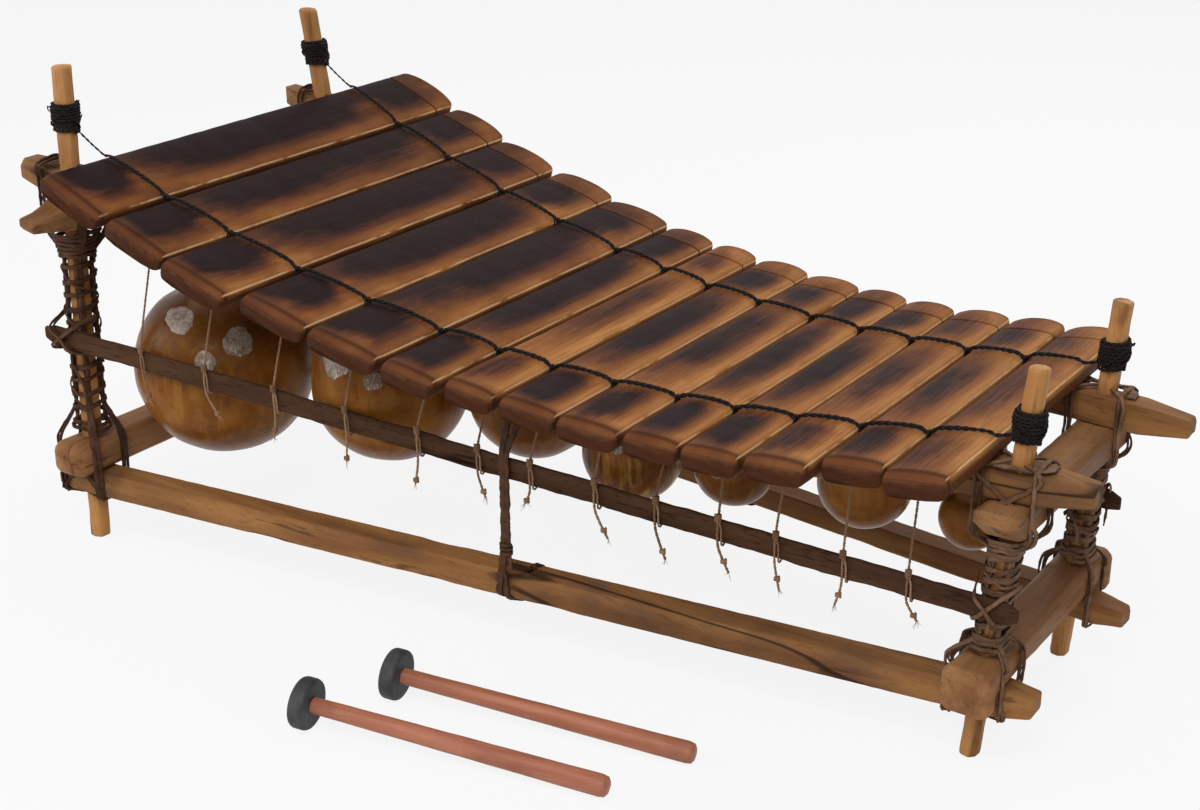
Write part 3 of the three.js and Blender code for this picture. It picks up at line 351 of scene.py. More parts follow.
def key_wood():
    """Hard golden wood, scorched dark between the cords and beyond them, rubbed to a low gloss."""
    paint = Paint("scorched_key_wood")
    across, depth, burn, groove = paint.attributes("across depth burn groove")
    to_near, to_far, from_near, from_far = paint.attributes("to_near to_far from_near from_far")
    place = paint.attribute("grain_place", "Vector")
    broad = paint.noise((1, 0.06, 1), 60, 3, 0.55, place)
    fine = paint.noise((1, 0.035, 1), 520, 5, 0.65, place)
    pores = paint.noise((1, 0.05, 1), 1500, 2, 0.5, place)
    cloud = paint.noise((1, 0.45, 1), 22, 4, 0.6, place)
    cloud_small = paint.noise((1, 0.3, 1), 90, 3, 0.6, place)
    paint.base(broad.step(0.3, 0.7), (0.5, 0.226, 0.072), (0.345, 0.137, 0.038))
    paint.stain(fine.step(0.48, 0.74) * 0.55, (0.15, 0.05, 0.014))
    # The scorch fades over several centimetres and its edge wanders with a cloudy noise.
    wander = (cloud - 0.5) * 0.055 + (cloud_small - 0.5) * 0.014

    def rises(distance, low, high):
        return (distance + wander).step(low, high)

    panel = rises(to_near, -0.016, 0.115) * rises(to_far, -0.034, 0.085)
    near_patch = rises(to_near * -1.0, -0.014, 0.044) * rises(from_near, -0.008, 0.062)
    far_patch = rises(to_far * -1.0, -0.014, 0.048) * rises(from_far, -0.006, 0.066)
    near_patch = paint.math("MULTIPLY", near_patch, 1.45, clamp=True)
    far_patch = paint.math("MULTIPLY", far_patch, 1.1, clamp=True)
    scorch = paint.math("MAXIMUM", panel, paint.math("MAXIMUM", near_patch, far_patch))
    # It reaches the upper long edge and leaves the lower one golden.
    edge = abs(across + 0.2) + wander * 11.0
    scorch = scorch * edge.step(1.16, 0.16) * depth.step(0.009, 0.003)
    patchy = (cloud + burn * 0.42).step(0.4, 0.95)
    strength = scorch * (patchy * 0.5 + 0.62) * (burn * 0.62 + 0.5)
    # The heat has toasted the rest of the wood too, most of all towards the upper long edge.
    upper_edge = (across + wander * 9.0).step(0.35, -0.85) * 0.3
    toast = cloud.step(0.3, 0.72) * 0.22 + 0.08 + upper_edge
    strength = strength + toast * paint.attribute("toast")
    strength = strength + (fine - 0.5) * 0.85 * (scorch + 0.12)
    for low, high, brown in (
            (0.0, 0.28, (0.235, 0.086, 0.025)), (0.14, 0.56, (0.098, 0.033, 0.0145)),
            (0.38, 0.84, (0.041, 0.0162, 0.0115)), (0.62, 1.05, (0.0165, 0.0078, 0.0074))):
        paint.stain(strength.step(low, high), brown)
    # The bevelled near end, its crest and its face are browned and soiled.
    paint.stain((from_near + wander * 0.35).step(0.024, 0.006) * 0.82, (0.122, 0.043, 0.0185))
    crest = from_near.step(0.0135, 0.0095) * from_near.step(0.0055, 0.0085)
    paint.stain(crest * 0.6, (0.032, 0.011, 0.0065))
    paint.stain(from_near.step(0.003, 0.0006) * 0.7, (0.028, 0.0105, 0.0072))
    face = from_near.step(0.0022, 0.0006) * cloud_small.step(0.3, 0.62)
    paint.stain(face * 0.5, (0.15, 0.062, 0.028))
    # So are the far end past its groove and its corner.
    past = from_far.step(0.036, 0.031) * (burn * 0.5 + 0.12)
    paint.stain(past * 0.75, (0.19, 0.068, 0.0225))
    paint.stain(past * (cloud + across * -0.12).step(0.42, 0.66), (0.05, 0.017, 0.0095))
    paint.stain(from_far.step(0.014, 0.002) * 0.5, (0.07, 0.021, 0.0095))
    # Painted shade: the sides low down and the underside are darkened, where they lie between and
    # under the keys.
    paint.stain(depth.step(0.0065, 0.012) * 0.86, (0.062, 0.0215, 0.0105))
    # Painted shade: the groove is darkened nearly black in its cut.
    paint.stain(groove * 0.92, (0.022, 0.008, 0.005))
    # A bright line along each long edge: a little wear, and a painted highlight that makes it much
    # brighter along the treble-side edge, where across is positive
    rim = abs(across).step(0.952, 0.985) * depth.step(0.0068, 0.0052)
    rim = rim * cloud_small.step(0.34, 0.5)
    paint.stain(rim * (across.step(-0.2, 0.2) * 0.62 + 0.3), (0.76, 0.48, 0.26))
    paint.stain(pores.step(0.62, 0.82) * 0.16, (0.36, 0.16, 0.06))
    paint.bump(fine + pores * 0.4, 0.38, 0.0006)
    paint.bump(cloud, 0.3, 0.004)
    return paint.finish(fine * 0.3 + 0.3, Specular_IOR_Level=0.025)


def gourd_shell():
    """Lacquered calabash: orange-brown, mottled and glossy, with painted shade towards the neck and
    the bottom.
    """
    paint = Paint("lacquered_gourd")
    spot = paint.attribute("spot", "Vector")
    height, streak, seed = paint.attributes("height streak seed")
    cloud = paint.noise(EVEN, 16, 4, 0.6, spot)
    fleck = paint.noise(EVEN, 130, 4, 0.62, spot)
    runs = paint.noise((1, 1, 0.12), 95, 4, 0.6, spot)
    paint.base(cloud.step(0.32, 0.68), (0.165, 0.053, 0.0075), (0.3, 0.112, 0.0155))
    paint.stain(fleck.step(0.52, 0.72) * 0.5, (0.13, 0.038, 0.009))
    paint.stain(runs.step(0.5, 0.66) * streak, (0.43, 0.24, 0.045))
    paint.stain(runs.step(0.47, 0.34) * streak, (0.07, 0.024, 0.009))
    # Painted shade: darker towards the neck, where it sits under the keys, and a little darker
    # towards the bottom.
    paint.stain(height.step(0.15, 0.85) * 0.7, (0.09, 0.03, 0.009))
    paint.stain(height.step(-0.3, -1.0) * 0.35, (0.17, 0.058, 0.018))
    paint.stain(seed * 0.18, (0.2, 0.06, 0.015))
    paint.bump(fleck, 0.16, 0.0008)
    paint.bump(cloud, 0.3, 0.004)
    gloss = fleck * 0.16 + 0.22
    return paint.finish(gloss, Specular_IOR_Level=0.09, Coat_Weight=0.03, Coat_Roughness=0.14)


def rawhide(name, light, middle, dark):
    """Dry rawhide, fibrous and uneven, each band darker at its edges with painted shade."""
    paint = Paint(name)
    band, shade, run = paint.attributes("band shade run")
    along = paint.node("ShaderNodeCombineXYZ", run, band * 0.03, shade * 3.0).outputs[0]
    fibres = paint.noise((12, 260, 1), 1.0, 4, 0.6, along)
    patch = paint.noise(EVEN, 75, 4, 0.62)
    fine = paint.noise(EVEN, 620, 3, 0.6)
    paint.base(patch.step(0.36, 0.64), middle, dark)
    paint.stain(fine.step(0.5, 0.72) * 0.4, light)
    paint.stain(shade * 0.4, light)
    paint.stain(fibres.step(0.5, 0.7) * 0.5, dark)
    # Painted shade along each band's edges, where it meets what it wraps.
    paint.stain(abs(band).step(0.72, 1.0) * 0.6, tuple(0.45 * c for c in dark))
    paint.bump(fine * 0.5 + fibres, 0.5, 0.0007)
    return paint.finish(patch * 0.25 + 0.5, Specular_IOR_Level=0.1)


def twine():
    """Tan twine, paler where it frays."""
    paint = Paint("tan_twine")
    shade, fray = paint.attributes("shade fray")
    fine = paint.noise(EVEN, 900, 3, 0.6)
    paint.base(shade, (0.2, 0.105, 0.056), (0.34, 0.205, 0.12))
    paint.stain(fine.step(0.45, 0.7) * 0.45, (0.11, 0.055, 0.03))
    paint.stain(fray * 0.4, (0.42, 0.28, 0.17))
    paint.bump(fine, 0.5, 0.0004)
    return paint.finish(0.85, Specular_IOR_Level=0.15)


def black_cord():
    """Tight black cord with worn grey fibres."""
    paint = Paint("black_twisted_cord")
    run, turn = paint.attributes("run turn")
    twist = paint.math("SINE", run * 3600.0 + turn * 2.0)
    fine = paint.noise(EVEN, 800, 3, 0.6)
    paint.base(fine.step(0.4, 0.75), (0.0085, 0.0065, 0.0065), (0.03, 0.022, 0.02))
    paint.bump(twist * 0.3 + fine, 0.5, 0.0004)
    return paint.finish(0.75, Specular_IOR_Level=0.12)


def membrane():
    """Papery membrane: pale and fibrous over its hole, browner where it is old."""
    paint = Paint("papery_membrane")
    pale, share = paint.attributes("pale share")
    fibres = paint.noise((1, 1, 0.25), 420, 4, 0.65)
    cloud = paint.noise(EVEN, 110, 3, 0.6)
    paint.base(pale, (0.16, 0.095, 0.06), (0.35, 0.275, 0.22))
    paint.stain(cloud.step(0.42, 0.62) * 0.75, (0.2, 0.11, 0.06))
    paint.stain(fibres.step(0.52, 0.64) * 0.75, (0.66, 0.6, 0.54))
    paint.stain(share.step(0.9, 1.0) * 0.35, (0.24, 0.12, 0.05))
    paint.bump(fibres, 0.6, 0.0008)
    return paint.finish(0.4, Specular_IOR_Level=0.4)


def rubber():
    """Old black rubber, dusty and scuffed."""
    paint = Paint("old_rubber")
    cloud = paint.noise(EVEN, 60, 4, 0.6)
    fine = paint.noise(EVEN, 700, 4, 0.65)
    paint.base(cloud.step(0.35, 0.7), (0.022, 0.022, 0.024), (0.055, 0.055, 0.058))
    paint.stain(fine.step(0.6, 0.78) * 0.5, (0.13, 0.125, 0.12))
    paint.bump(fine, 0.4, 0.0005)
    paint.bump(cloud, 0.3, 0.002)
    return paint.finish(fine * 0.25 + 0.5, Specular_IOR_Level=0.4)


def stick_wood():
    """Reddish mallet wood with pale streaks along it."""
    paint = Paint("red_stick_wood")
    seed = paint.attribute("seed")
    mapping = paint.node("ShaderNodeMapping", paint.place)
    mapping.inputs["Rotation"].default_value = (0, 0, -MALLET_TURN)
    flat = mapping.outputs[0]
    broad = paint.noise((0.08, 1, 1), 110, 4, 0.6, flat)
    fine = paint.noise((0.05, 1, 1), 700, 4, 0.6, flat)
    patch = paint.noise(EVEN, 22, 3, 0.6)
    paint.base(broad.step(0.35, 0.66), (0.46, 0.165, 0.09), (0.32, 0.1, 0.052))
    paint.stain(fine.step(0.56, 0.74) * 0.55, (0.58, 0.33, 0.18))
    paint.stain(patch.step(0.52, 0.72) * 0.4, (0.16, 0.05, 0.03))
    paint.stain(seed * 0.15, (0.45, 0.2, 0.1))
    paint.bump(fine, 0.35, 0.0005)
    return paint.finish(fine * 0.25 + 0.4, Specular_IOR_Level=0.45)


# Shapes. Points are in the design's frame, in millimetres, and become metres when a piece is made.

def unit(vectors):
    return vectors / np.maximum(np.linalg.norm(vectors, axis=-1, keepdims=True), 1e-9)


def mixed(a, b, share):
    return a + (b - a) * share


def clamp01(value):
    return np.clip(value, 0, 1)


def eased(value, low, high):
    share = clamp01((value - low) / (high - low))
    return share * share * (3 - 2 * share)


def turns_of(sides):
    """Even angles once round."""
    return np.linspace(0, TAU, sides, endpoint=False)


def compass(turn):
    """Level directions. turn is measured from +X, against the clock seen from above."""
    turn = np.asarray(turn, float)
    return np.stack([np.cos(turn), np.sin(turn), 0 * turn], -1)


def name_seed(name):
    return sum(map(ord, name))


def spread_over(values, sides):
    """One value for each station, the same all the way round."""
    return np.tile(np.asarray(values, float)[:, None], (1, sides))


def wobble(along, amount, longest, seed):
    """Slow irregular waves along a length, the longest about that many millimetres."""
    dice = np.random.default_rng(seed)
    along = np.asarray(along, float)
    total = np.zeros_like(along)
    for octave in range(4):
        wave = longest / 1.8 ** octave * dice.uniform(0.8, 1.2)
        total += np.sin(TAU * along / wave + dice.uniform(0, TAU)) / 1.6 ** octave
    return amount * total / 1.6


def lumps(points, amount, size, seed):
    """Uneven waves over a surface, one value for each point."""
    dice = np.random.default_rng(seed)
    total = np.zeros(points.shape[:-1])
    for octave in range(4):
        for _ in range(3):
            way = unit(dice.normal(size=3)) * TAU / (size * dice.uniform(0.7, 1.4) / 1.8 ** octave)
            total += np.sin(points @ way + dice.uniform(0, TAU)) / 1.7 ** octave
    return amount * total / 4


class Shape:
    """One piece's points, faces and named point values."""

    def __init__(self):
        self.points, self.faces, self.values = [], [], {}
        self.count = 0

    def grid(self, rings, caps=True, **values):
        """Adds closed rings, joined one to the next, and a face over each end."""
        rings = np.asarray(rings, float)
        stations, sides = rings.shape[:2]
        ids = self.count + np.arange(stations * sides).reshape(stations, sides)
        after = np.roll(ids, -1, axis=1)
        quads = np.stack([ids[:-1], after[:-1], after[1:], ids[1:]], -1).reshape(-1, 4)
        self.faces.extend(map(tuple, quads.tolist()))
        if caps:
            self.faces += [tuple(ids[0][::-1].tolist()), tuple(ids[-1].tolist())]
        self.points.append(rings.reshape(-1, 3))
        for key, value in values.items():
            value = np.asarray(value, float)
            full = value if value.ndim == 3 else np.broadcast_to(value, (stations, sides))
            flat = full.reshape(-1, *full.shape[2:])
            self.values.setdefault(key, []).append((self.count, flat))
        self.count += stations * sides

    def make(self, name, material, body=BODY, replaces=(), sharp=60):
        mesh = bpy.data.meshes.new(name)
        mesh.from_pydata(to_row(np.vstack(self.points)).tolist(), [], self.faces)
        for key, parts in self.values.items():
            wide = parts[0][1].ndim == 2
            kind, field = ("FLOAT_VECTOR", "vector") if wide else ("FLOAT", "value")
            full = np.zeros((self.count, 3) if wide else self.count)
            for start, flat in parts:
                full[start:start + len(flat)] = flat
            mesh.attributes.new(key, kind, "POINT").data.foreach_set(field, full.ravel())
        work = bmesh.new()
        work.from_mesh(mesh)
        bmesh.ops.recalc_face_normals(work, faces=work.faces)
        work.to_mesh(mesh)
        work.free()
        mesh.shade_smooth()
        mesh.set_sharp_from_angle(angle=math.radians(sharp))
        mesh.materials.append(material)
        piece = link(bpy.data.objects.new(name, mesh))
        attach(piece, body)
        if replaces:
            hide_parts(*replaces)
        return piece


def path_run(path):
    return np.r_[0, np.cumsum(np.linalg.norm(np.diff(path, axis=0), axis=1))]


def smooth_path(points, step):
    """Points at even steps along a smooth curve through the given ones. More columns go along."""
    given = np.asarray(points, float)
    gaps = np.linalg.norm(np.diff(given[:, :3], axis=0), axis=1)
    slopes = np.empty_like(given)
    slopes[1:-1] = (given[2:] - given[:-2]) / (gaps[1:] + gaps[:-1])[:, None]
    slopes[0] = (given[1] - given[0]) / gaps[0]
    slopes[-1] = (given[-1] - given[-2]) / gaps[-1]
    pieces = []
    for i, gap in enumerate(gaps):
        t = np.linspace(0, 1, max(3, int(gap / step) + 2), endpoint=False)[:, None]
        a, b = given[i], given[i + 1]
        m, n = slopes[i] * gap, slopes[i + 1] * gap
        pieces.append(
            (2 * t**3 - 3 * t**2 + 1) * a + (t**3 - 2 * t**2 + t) * m
            + (-2 * t**3 + 3 * t**2) * b + (t**3 - t**2) * n)
    pieces.append(given[-1:])
    dense = np.vstack(pieces)
    run = path_run(dense[:, :3])
    even = np.linspace(0, run[-1], max(2, int(round(run[-1] / step))) + 1)
    return np.stack([np.interp(even, run, column) for column in dense.T], 1)


def path_sides(path, out=None):
    """Sideways and outward directions along a path. out fixes the outward side."""
    tangent = unit(np.gradient(path, axis=0))
    if out is None:
        out = np.empty_like(path)
        first = np.array([0.0, 0.0, 1.0])
        if abs(tangent[0] @ first) > 0.9:
            first = np.array([1.0, 0.0, 0.0])
        for i, way in enumerate(tangent):
            first = unit(first - way * (first @ way))
            out[i] = first
    else:
        out = unit(out - tangent * np.sum(out * tangent, axis=1, keepdims=True))
    return np.cross(tangent, out), out


def add_tube(shape, path, radius, sides=6, **values):
    """A round tube along a path."""
    side, out = path_sides(path)
    radius = np.broadcast_to(np.asarray(radius, float), len(path))
    turn = turns_of(sides)
    ring = side[:, None] * np.cos(turn)[:, None] + out[:, None] * np.sin(turn)[:, None]
    shape.grid(
        path[:, None] + ring * radius[:, None, None], run=spread_over(path_run(path) * MM, sides),
        turn=turn, **values)


def add_rope(shape, path, radius, pitch, sides=6, seed=0, **values):
    """Two strands twisted round each other along a path."""
    side, out = path_sides(path)
    run = path_run(path)
    radius = np.broadcast_to(np.asarray(radius, float), len(path))
    strand = radius * 0.56
    spread = (radius - strand)[:, None]
    for k in range(2):
        turn = TAU * (run / pitch + k / 2)
        centre = path + spread * (side * np.cos(turn)[:, None] + out * np.sin(turn)[:, None])
        add_tube(shape, centre, strand * (1 + wobble(run, 0.06, 14, seed + k)), sides, **values)


# A strap's section: places across it, and its height above and below its middle
STRAP_SECTION = np.array([
    (-1, 0), (-0.94, 0.8), (-0.6, 1), (-0.2, 0.86), (0.25, 0.94), (0.62, 1), (0.93, 0.75), (1, 0),
    (0.9, -0.7), (0.3, -0.6), (-0.3, -0.6), (-0.9, -0.7)])


def add_strap(shape, path, out, width, thickness, seed, **values):
    """A flat band along a path, its face turned outward, with uneven edges and a slight cup."""
    side, out = path_sides(path, out)
    run = path_run(path)
    place, height = STRAP_SECTION.T
    width = np.broadcast_to(np.asarray(width, float), len(path))
    width = width * (1 + wobble(run, 0.1, 30, seed))
    across = place * width[:, None] / 2 + (wobble(run, 0.07, 16, seed + 1) * width)[:, None]
    thick = thickness * (1 + wobble(run, 0.16, 12, seed + 3))
    up = height * thick[:, None] / 2 + across * wobble(run, 0.12, 26, seed + 4)[:, None]
    rings = path[:, None] + side[:, None] * across[..., None] + out[:, None] * up[..., None]
    shape.grid(
        rings, run=spread_over(run * MM, len(place)), band=place,
        shade=np.random.default_rng(seed + 2).uniform(0, 1), **values)


# Where things are

KEYS_ARC = KEY_WIDTH * sum(row[0] for row in KEY_SHARES) + KEY_GAP * sum(GAP_SHARES)


def on_bow(arc, radius):
    turn = np.asarray(arc, float) / BOW_RADIUS
    x = BOW_LOW_X + radius * np.sin(turn)
    z = BOW_LOW_HEIGHT + BOW_RADIUS - radius * np.cos(turn)
    return np.stack([x, np.zeros_like(x), z], -1)


def lay_keys():
    keys, gaps = [], []
    arc = -BASS_ARC_SHARE * KEYS_ARC
    for i, (share, near, far, burn, toast) in enumerate(KEY_SHARES):
        width = KEY_WIDTH * share
        keys.append(dict(
            number=i + 1, width=width, arc=arc + width / 2, near=-KEY_HALF_LENGTH * near,
            far=KEY_HALF_LENGTH * far, burn=burn, toast=toast))
        arc += width
        if i < len(GAP_SHARES):
            gap = KEY_GAP * GAP_SHARES[i]
            gaps.append((arc + gap / 2, gap))
            arc += gap
    return keys, gaps


KEYS, GAPS = lay_keys()
# The rails' tops are bowed round the keys' flat undersides, between 16 straight stretches.
STATION_ARC = (KEYS[-1]["arc"] - KEYS[0]["arc"]) / 16
RAIL_TOP_RADIUS = (
    BOW_RADIUS + KEY_THICKNESS + SEAT
    + ((0.4 * KEY_WIDTH) ** 2 + (STATION_ARC / 2) ** 2) / (2 * BOW_RADIUS))
BOW_START = on_bow(KEYS[0]["arc"], RAIL_TOP_RADIUS)
BOW_END = on_bow(KEYS[-1]["arc"], RAIL_TOP_RADIUS)


def post_at(name, z):
    post = POSTS[name]
    share = np.asarray(z, float)[..., None] / post["height"]
    foot = np.array([*post["foot"], 0.0])
    top = np.array([*post["top"], post["height"]])
    return foot + (top - foot) * share


def rail_top(x):
    x = np.asarray(x, float)
    inside = np.clip(x, BOW_START[0], BOW_END[0])
    bow = BOW_LOW_HEIGHT + BOW_RADIUS - np.sqrt(RAIL_TOP_RADIUS**2 - (inside - BOW_LOW_X) ** 2)
    below = UPPER_BASS_SLOPE * np.minimum(x - BOW_START[0], 0)
    return bow + below + UPPER_TREBLE_SLOPE * np.maximum(x - BOW_END[0], 0)


def upper_level(end):
    level = POSTS[end + "_near"]["height"] / 2
    for _ in range(6):
        level = rail_top(post_at(end + "_near", level)[0]) - UPPER_HEIGHT / 2
    return level


LEVEL = {end: upper_level(end) for end in ("bass", "treble")}


class Line:
    """A long rail's middle line, seen from above, and the places of its two ends."""

    def __init__(self, kind, side):
        levels = LEVEL if kind == "upper" else dict.fromkeys(LEVEL, LOWER_LEVEL)
        self.a, self.b = (post_at(end + "_" + side, levels[end]) for end in ("bass", "treble"))
        self.start = self.a[0] - RAILS[kind]["bass"]
        self.end = self.b[0] + RAILS[kind][side]
        self.tips = RAILS[kind]["tips"]

    def y(self, x):
        a, b = self.a, self.b
        return a[1] + (b[1] - a[1]) * (np.asarray(x, float) - a[0]) / (b[0] - a[0])

    def shrink(self, x):
        return tip_shares(x, self.start, self.end, *self.tips)


def taper(distance, length, share):
    """A straight taper towards an end, which is sawn off with its rim just broken."""
    distance = np.asarray(distance, float)
    body = 1 - (1 - share) * clamp01(1 - distance / length)
    return body * (1 - 0.1 * clamp01(1 - distance / 1.6) ** 2)


def tip_shares(x, start, end, near_share, far_share, near_length, far_length):
    """How far a bar is shrunk towards its two ends."""
    return taper(x - start, near_length, near_share) * taper(end - x, far_length, far_share)


LINES = {(kind, side): Line(kind, side) for kind in RAILS for side in SIGN}


def cord_y(side, x):
    share = (np.asarray(x, float) - BOW_START[0]) / (BOW_END[0] - BOW_START[0])
    return SIGN[side] * (CORD_BASS_Y + (CORD_TREBLE_Y - CORD_BASS_Y) * share)


# Keys

# Places of a key's sections: distances from its near end and from its far one
NEAR_STATIONS = [0, 0.6, 1.5, 3, 5, 7, 8.5, 9.5, 11, 14, 19]
FAR_STATIONS = [
    0, 0.5, 1.2, 2.2, 3.6, 5.4, 7.4, 9.4, 12, 17, 23, 28, 31, 31.8, 32.5, 33.2, 34, 34.8, 35.5,
    36.2, 37, 40, 45, 52]


def key_section():
    """Over the top, down the side and in under the flat base, then back: places and heights."""
    crown = np.linspace(0, 0.9, 11)
    across = np.r_[crown, 0.945, 0.972, 0.99, 1.0, 1.0, 0.99, 0.97, 0.93, 0.88, 0.5]
    up = np.r_[
        -KEY_CROWN * 0.8 * crown**2.6, -3.75, -4.6, -5.8, -7.4, -13.5, -16.5, -18.3, -19.4, -20,
        -20]
    return np.r_[across, -across[::-1]][:-1], np.r_[up, up[::-1]][:-1]


def make_key(key, material):
    seed = 100 + key["number"]
    near, far = key["near"], key["far"]
    y = [near + d for d in NEAR_STATIONS] + [far - d for d in FAR_STATIONS]
    y = np.array(sorted(y + list(np.arange(near + 26, far - 56, 7.0))))
    from_near, from_far = y - near, far - y
    across, height = key_section()
    is_top = height > -8
    # Half the width along the key: its far corners are round and its near ones are broken.
    corner = 9.0
    close = np.clip(corner - from_far, 0, corner)
    pulled = corner - np.sqrt(np.maximum(corner**2 - close**2, 0))
    broken = np.clip(2.2 - from_near, 0, 2.2) ** 2 * 0.35
    half = key["width"] / 2 - pulled - broken
    # The top is uneven from the adze, bevelled at the near end and grooved near the far end.
    uneven = 0.5 * np.abs(wobble(y, 1.0, 90, seed + 7))
    bevel = 7.0 * (np.clip(10.0 - from_near, 0, 10) / 10.0) ** 1.5
    round_far = 1.8 * (np.clip(4.0 - from_far, 0, 4) / 4.0) ** 2
    groove = np.where(is_top, np.exp(-(((from_far - GROOVE_AT) / 1.25) ** 4))[:, None], 0)
    up = height - np.where(is_top, 1 + height / 12, 0) * (uneven + bevel + round_far)[:, None]
    # The hollow under the middle tunes the key.
    hollow = 4 * np.clip(1 - np.abs(y - (near + far) / 2) / 70, 0, 1)
    up = up - 2.2 * groove + np.where(height < -17, hollow[:, None], 0)
    waves = [wobble(y, 0.55, longest, seed + k)[:, None] for longest, k in ((170, 0), (150, 50))]
    wave = np.abs(np.where(across > 0, *waves))
    x_local = across * half[:, None] - np.sign(across) * wave * 0.6
    # Both ends bow outwards a little between their corners, and the groove bends the same way.
    bow_near, bow_far = 3.6 * (1 - eased(from_near, 0, 30)), 2.2 * (1 - eased(from_far, 0, 30))
    bend = 3 * np.exp(-(((from_far - GROOVE_AT) / 12.0) ** 2))
    y_local = y[:, None] + np.abs(across) ** 2.2 * (bow_near - bow_far)[:, None]
    y_local = y_local - bend[:, None] * (1 - across**2) * is_top
    # Turned by the key's place on the bow
    turn = key["arc"] / BOW_RADIUS
    centre = on_bow(key["arc"], BOW_RADIUS)
    ct, st = math.cos(turn), math.sin(turn)
    rings = np.stack([
        centre[0] + x_local * ct - up * st, np.clip(y_local, near, far),
        centre[2] + x_local * st + up * ct], -1)
    dice = np.random.default_rng(seed)
    grain = dice.uniform(-40, 40, 3) + np.stack([x_local, y_local, up], -1) * MM
    shape = Shape()
    shape.grid(
        rings, across=across, depth=-up * MM, groove=groove, burn=key["burn"], toast=key["toast"],
        to_near=(y_local - cord_y("near", centre[0])) * MM,
        to_far=(cord_y("far", centre[0]) - y_local) * MM,
        from_near=from_near[:, None] * MM, from_far=from_far[:, None] * MM, grain_place=grain)
    number = "%02d" % key["number"]
    shape.make("slat_" + number, material, replaces=("key_" + number,), sharp=50)


# Posts and rails

def make_post(name, material):
    post = POSTS[name]
    seed = name_seed(name)
    height, radius = post["height"], post["radius"]
    from_top = height - np.array([5, 2.6, 1.2, 0.3, 0])
    z = np.r_[0, 0.5, 2, 4, np.arange(10, height - 8, 6.0), from_top]
    sides = 48
    turn = turns_of(sides)
    # Whittled flats run the length of the post and wander a little as they rise.
    dice = np.random.default_rng(seed)
    flats = np.sort(np.arange(7) * TAU / 7 + dice.uniform(-0.2, 0.2, 7))
    drift = wobble(z, 0.1, 260, seed + 5)
    r = np.full((len(z), sides), float(radius))
    for flat, cut_in in zip(flats, dice.uniform(0.05, 0.1, 7)):
        facing = np.cos(turn - flat - drift[:, None])
        plane = radius * (1 - cut_in) / np.maximum(facing, 0.2)
        r = np.where(facing > 0.5, np.minimum(r, plane), r)
    trim = np.interp(z, [0, 0.5, 2, *from_top[1:]], [1.0, 0.5, 0, 0, 0.5, 1.3, 2.2])
    r = r - (trim + np.abs(wobble(z, 0.35, 90, seed)))[:, None]
    column = r[..., None] * compass(turn) + (z * 0.4)[:, None, None] * UP
    r = r + lumps(column, 0.2, 12, seed)
    rings = post_at(name, z)[:, None] + r[..., None] * compass(turn)
    # The sawn top is slightly out of level.
    rings[..., 2] += 0.4 * eased(z, height - 3, height)[:, None] * (np.cos(turn - seed) - 1)
    shape = Shape()
    shape.grid(rings, seed=dice.uniform(0, 1))
    shape.make("pole_" + name, material, replaces=("post_" + name,), sharp=34)


def stations(start, end, near_ends, first, last, step):
    """Even places along a bar, with closer ones near both ends."""
    a, b = near_ends
    middle = np.arange(start + first, end - last, step)
    return np.r_[start, start + a, start + b, middle, end - b, end - a, end]


def adze(points, amount, length, width, seed):
    """Shallow flat cuts of a blade over a surface: each point takes the deepest cut near it."""
    dice = np.random.default_rng(seed)
    low = points.reshape(-1, 3).min(0)
    high = points.reshape(-1, 3).max(0)
    long_axis = int(np.argmax(high - low))
    deep = np.zeros(points.shape[:-1])
    for _ in range(int((high - low).max() / length * 5) + 4):
        away = points - dice.uniform(low, high)
        along = away[..., long_axis] / length
        across = np.linalg.norm(np.delete(away, long_axis, -1), axis=-1) / width
        deep = np.maximum(deep, clamp01(1 - along**2 - across**2) * dice.uniform(0.4, 1))
    return amount * deep


def hewn(name, solid, material, centre, across, width, height, cut, seed, rough, keep_top=None):
    """A hewn bar. centre is its middle line, across its section's sideways direction."""
    corners = np.array(cut)
    # Each corner is cut slightly, and each face has points along it for the blade's marks.
    section = []
    for a, b in zip(corners, np.roll(corners, -1, axis=0)):
        cut_in = min(0.045 / max(np.linalg.norm(b - a), 0.01), 0.3)
        for share in (cut_in, cut_in + 0.04, 0.3, 0.5, 0.7, 0.96 - cut_in, 1 - cut_in):
            section.append(mixed(a, b, share))
    side, rise = np.array(section).T
    rings = (
        centre[:, None] + across * (width[:, None] * side)[..., None]
        + UP * (height[:, None] * (rise - 0.5))[..., None])
    push = -np.abs(lumps(rings, 0.35 * rough, 40, seed)) - adze(rings, 1.3 * rough, 24, 9, seed + 1)
    if keep_top is not None:
        push = np.where(rise > keep_top, push * 0.3, push)
    shape = Shape()
    shape.grid(
        rings + unit(rings - centre[:, None]) * push[..., None],
        seed=np.random.default_rng(seed).uniform(0, 1))
    shape.make(name, material, replaces=(solid,), sharp=32)


def make_long_rails(material):
    for side, sign in SIGN.items():
        for kind, rail in RAILS.items():
            line = LINES[kind, side]
            x = stations(line.start, line.end, (0.5, 1.6), 5, 4, 5.0)
            upper_z = rail_top(x) - UPPER_HEIGHT / 2
            z = upper_z if kind == "upper" else np.full_like(x, LOWER_LEVEL)
            shrink = line.shrink(x)
            hewn(
                "pole_%s_%s" % (kind, side), "%s_rail_%s" % (kind, side), material,
                np.stack([x, line.y(x), z], -1), np.array([0, sign, 0]), rail["width"] * shrink,
                rail["height"] * shrink, rail["outline"], rail["seed"] + sign, 0.9,
                rail["keep_top"])


def cross_levels(kind, end):
    """Where a cross rail meets its posts, and its top."""
    height = CROSS_RAILS[kind, end]["height"]
    if kind == "lower":
        return LOWER_CROSS_BOTTOM + height / 2, LOWER_CROSS_BOTTOM + height
    level = LEVEL[end] - (UPPER_HEIGHT + height) / 2
    return level, rail_top(post_at(end + "_near", level)[0]) - UPPER_HEIGHT - SEAT


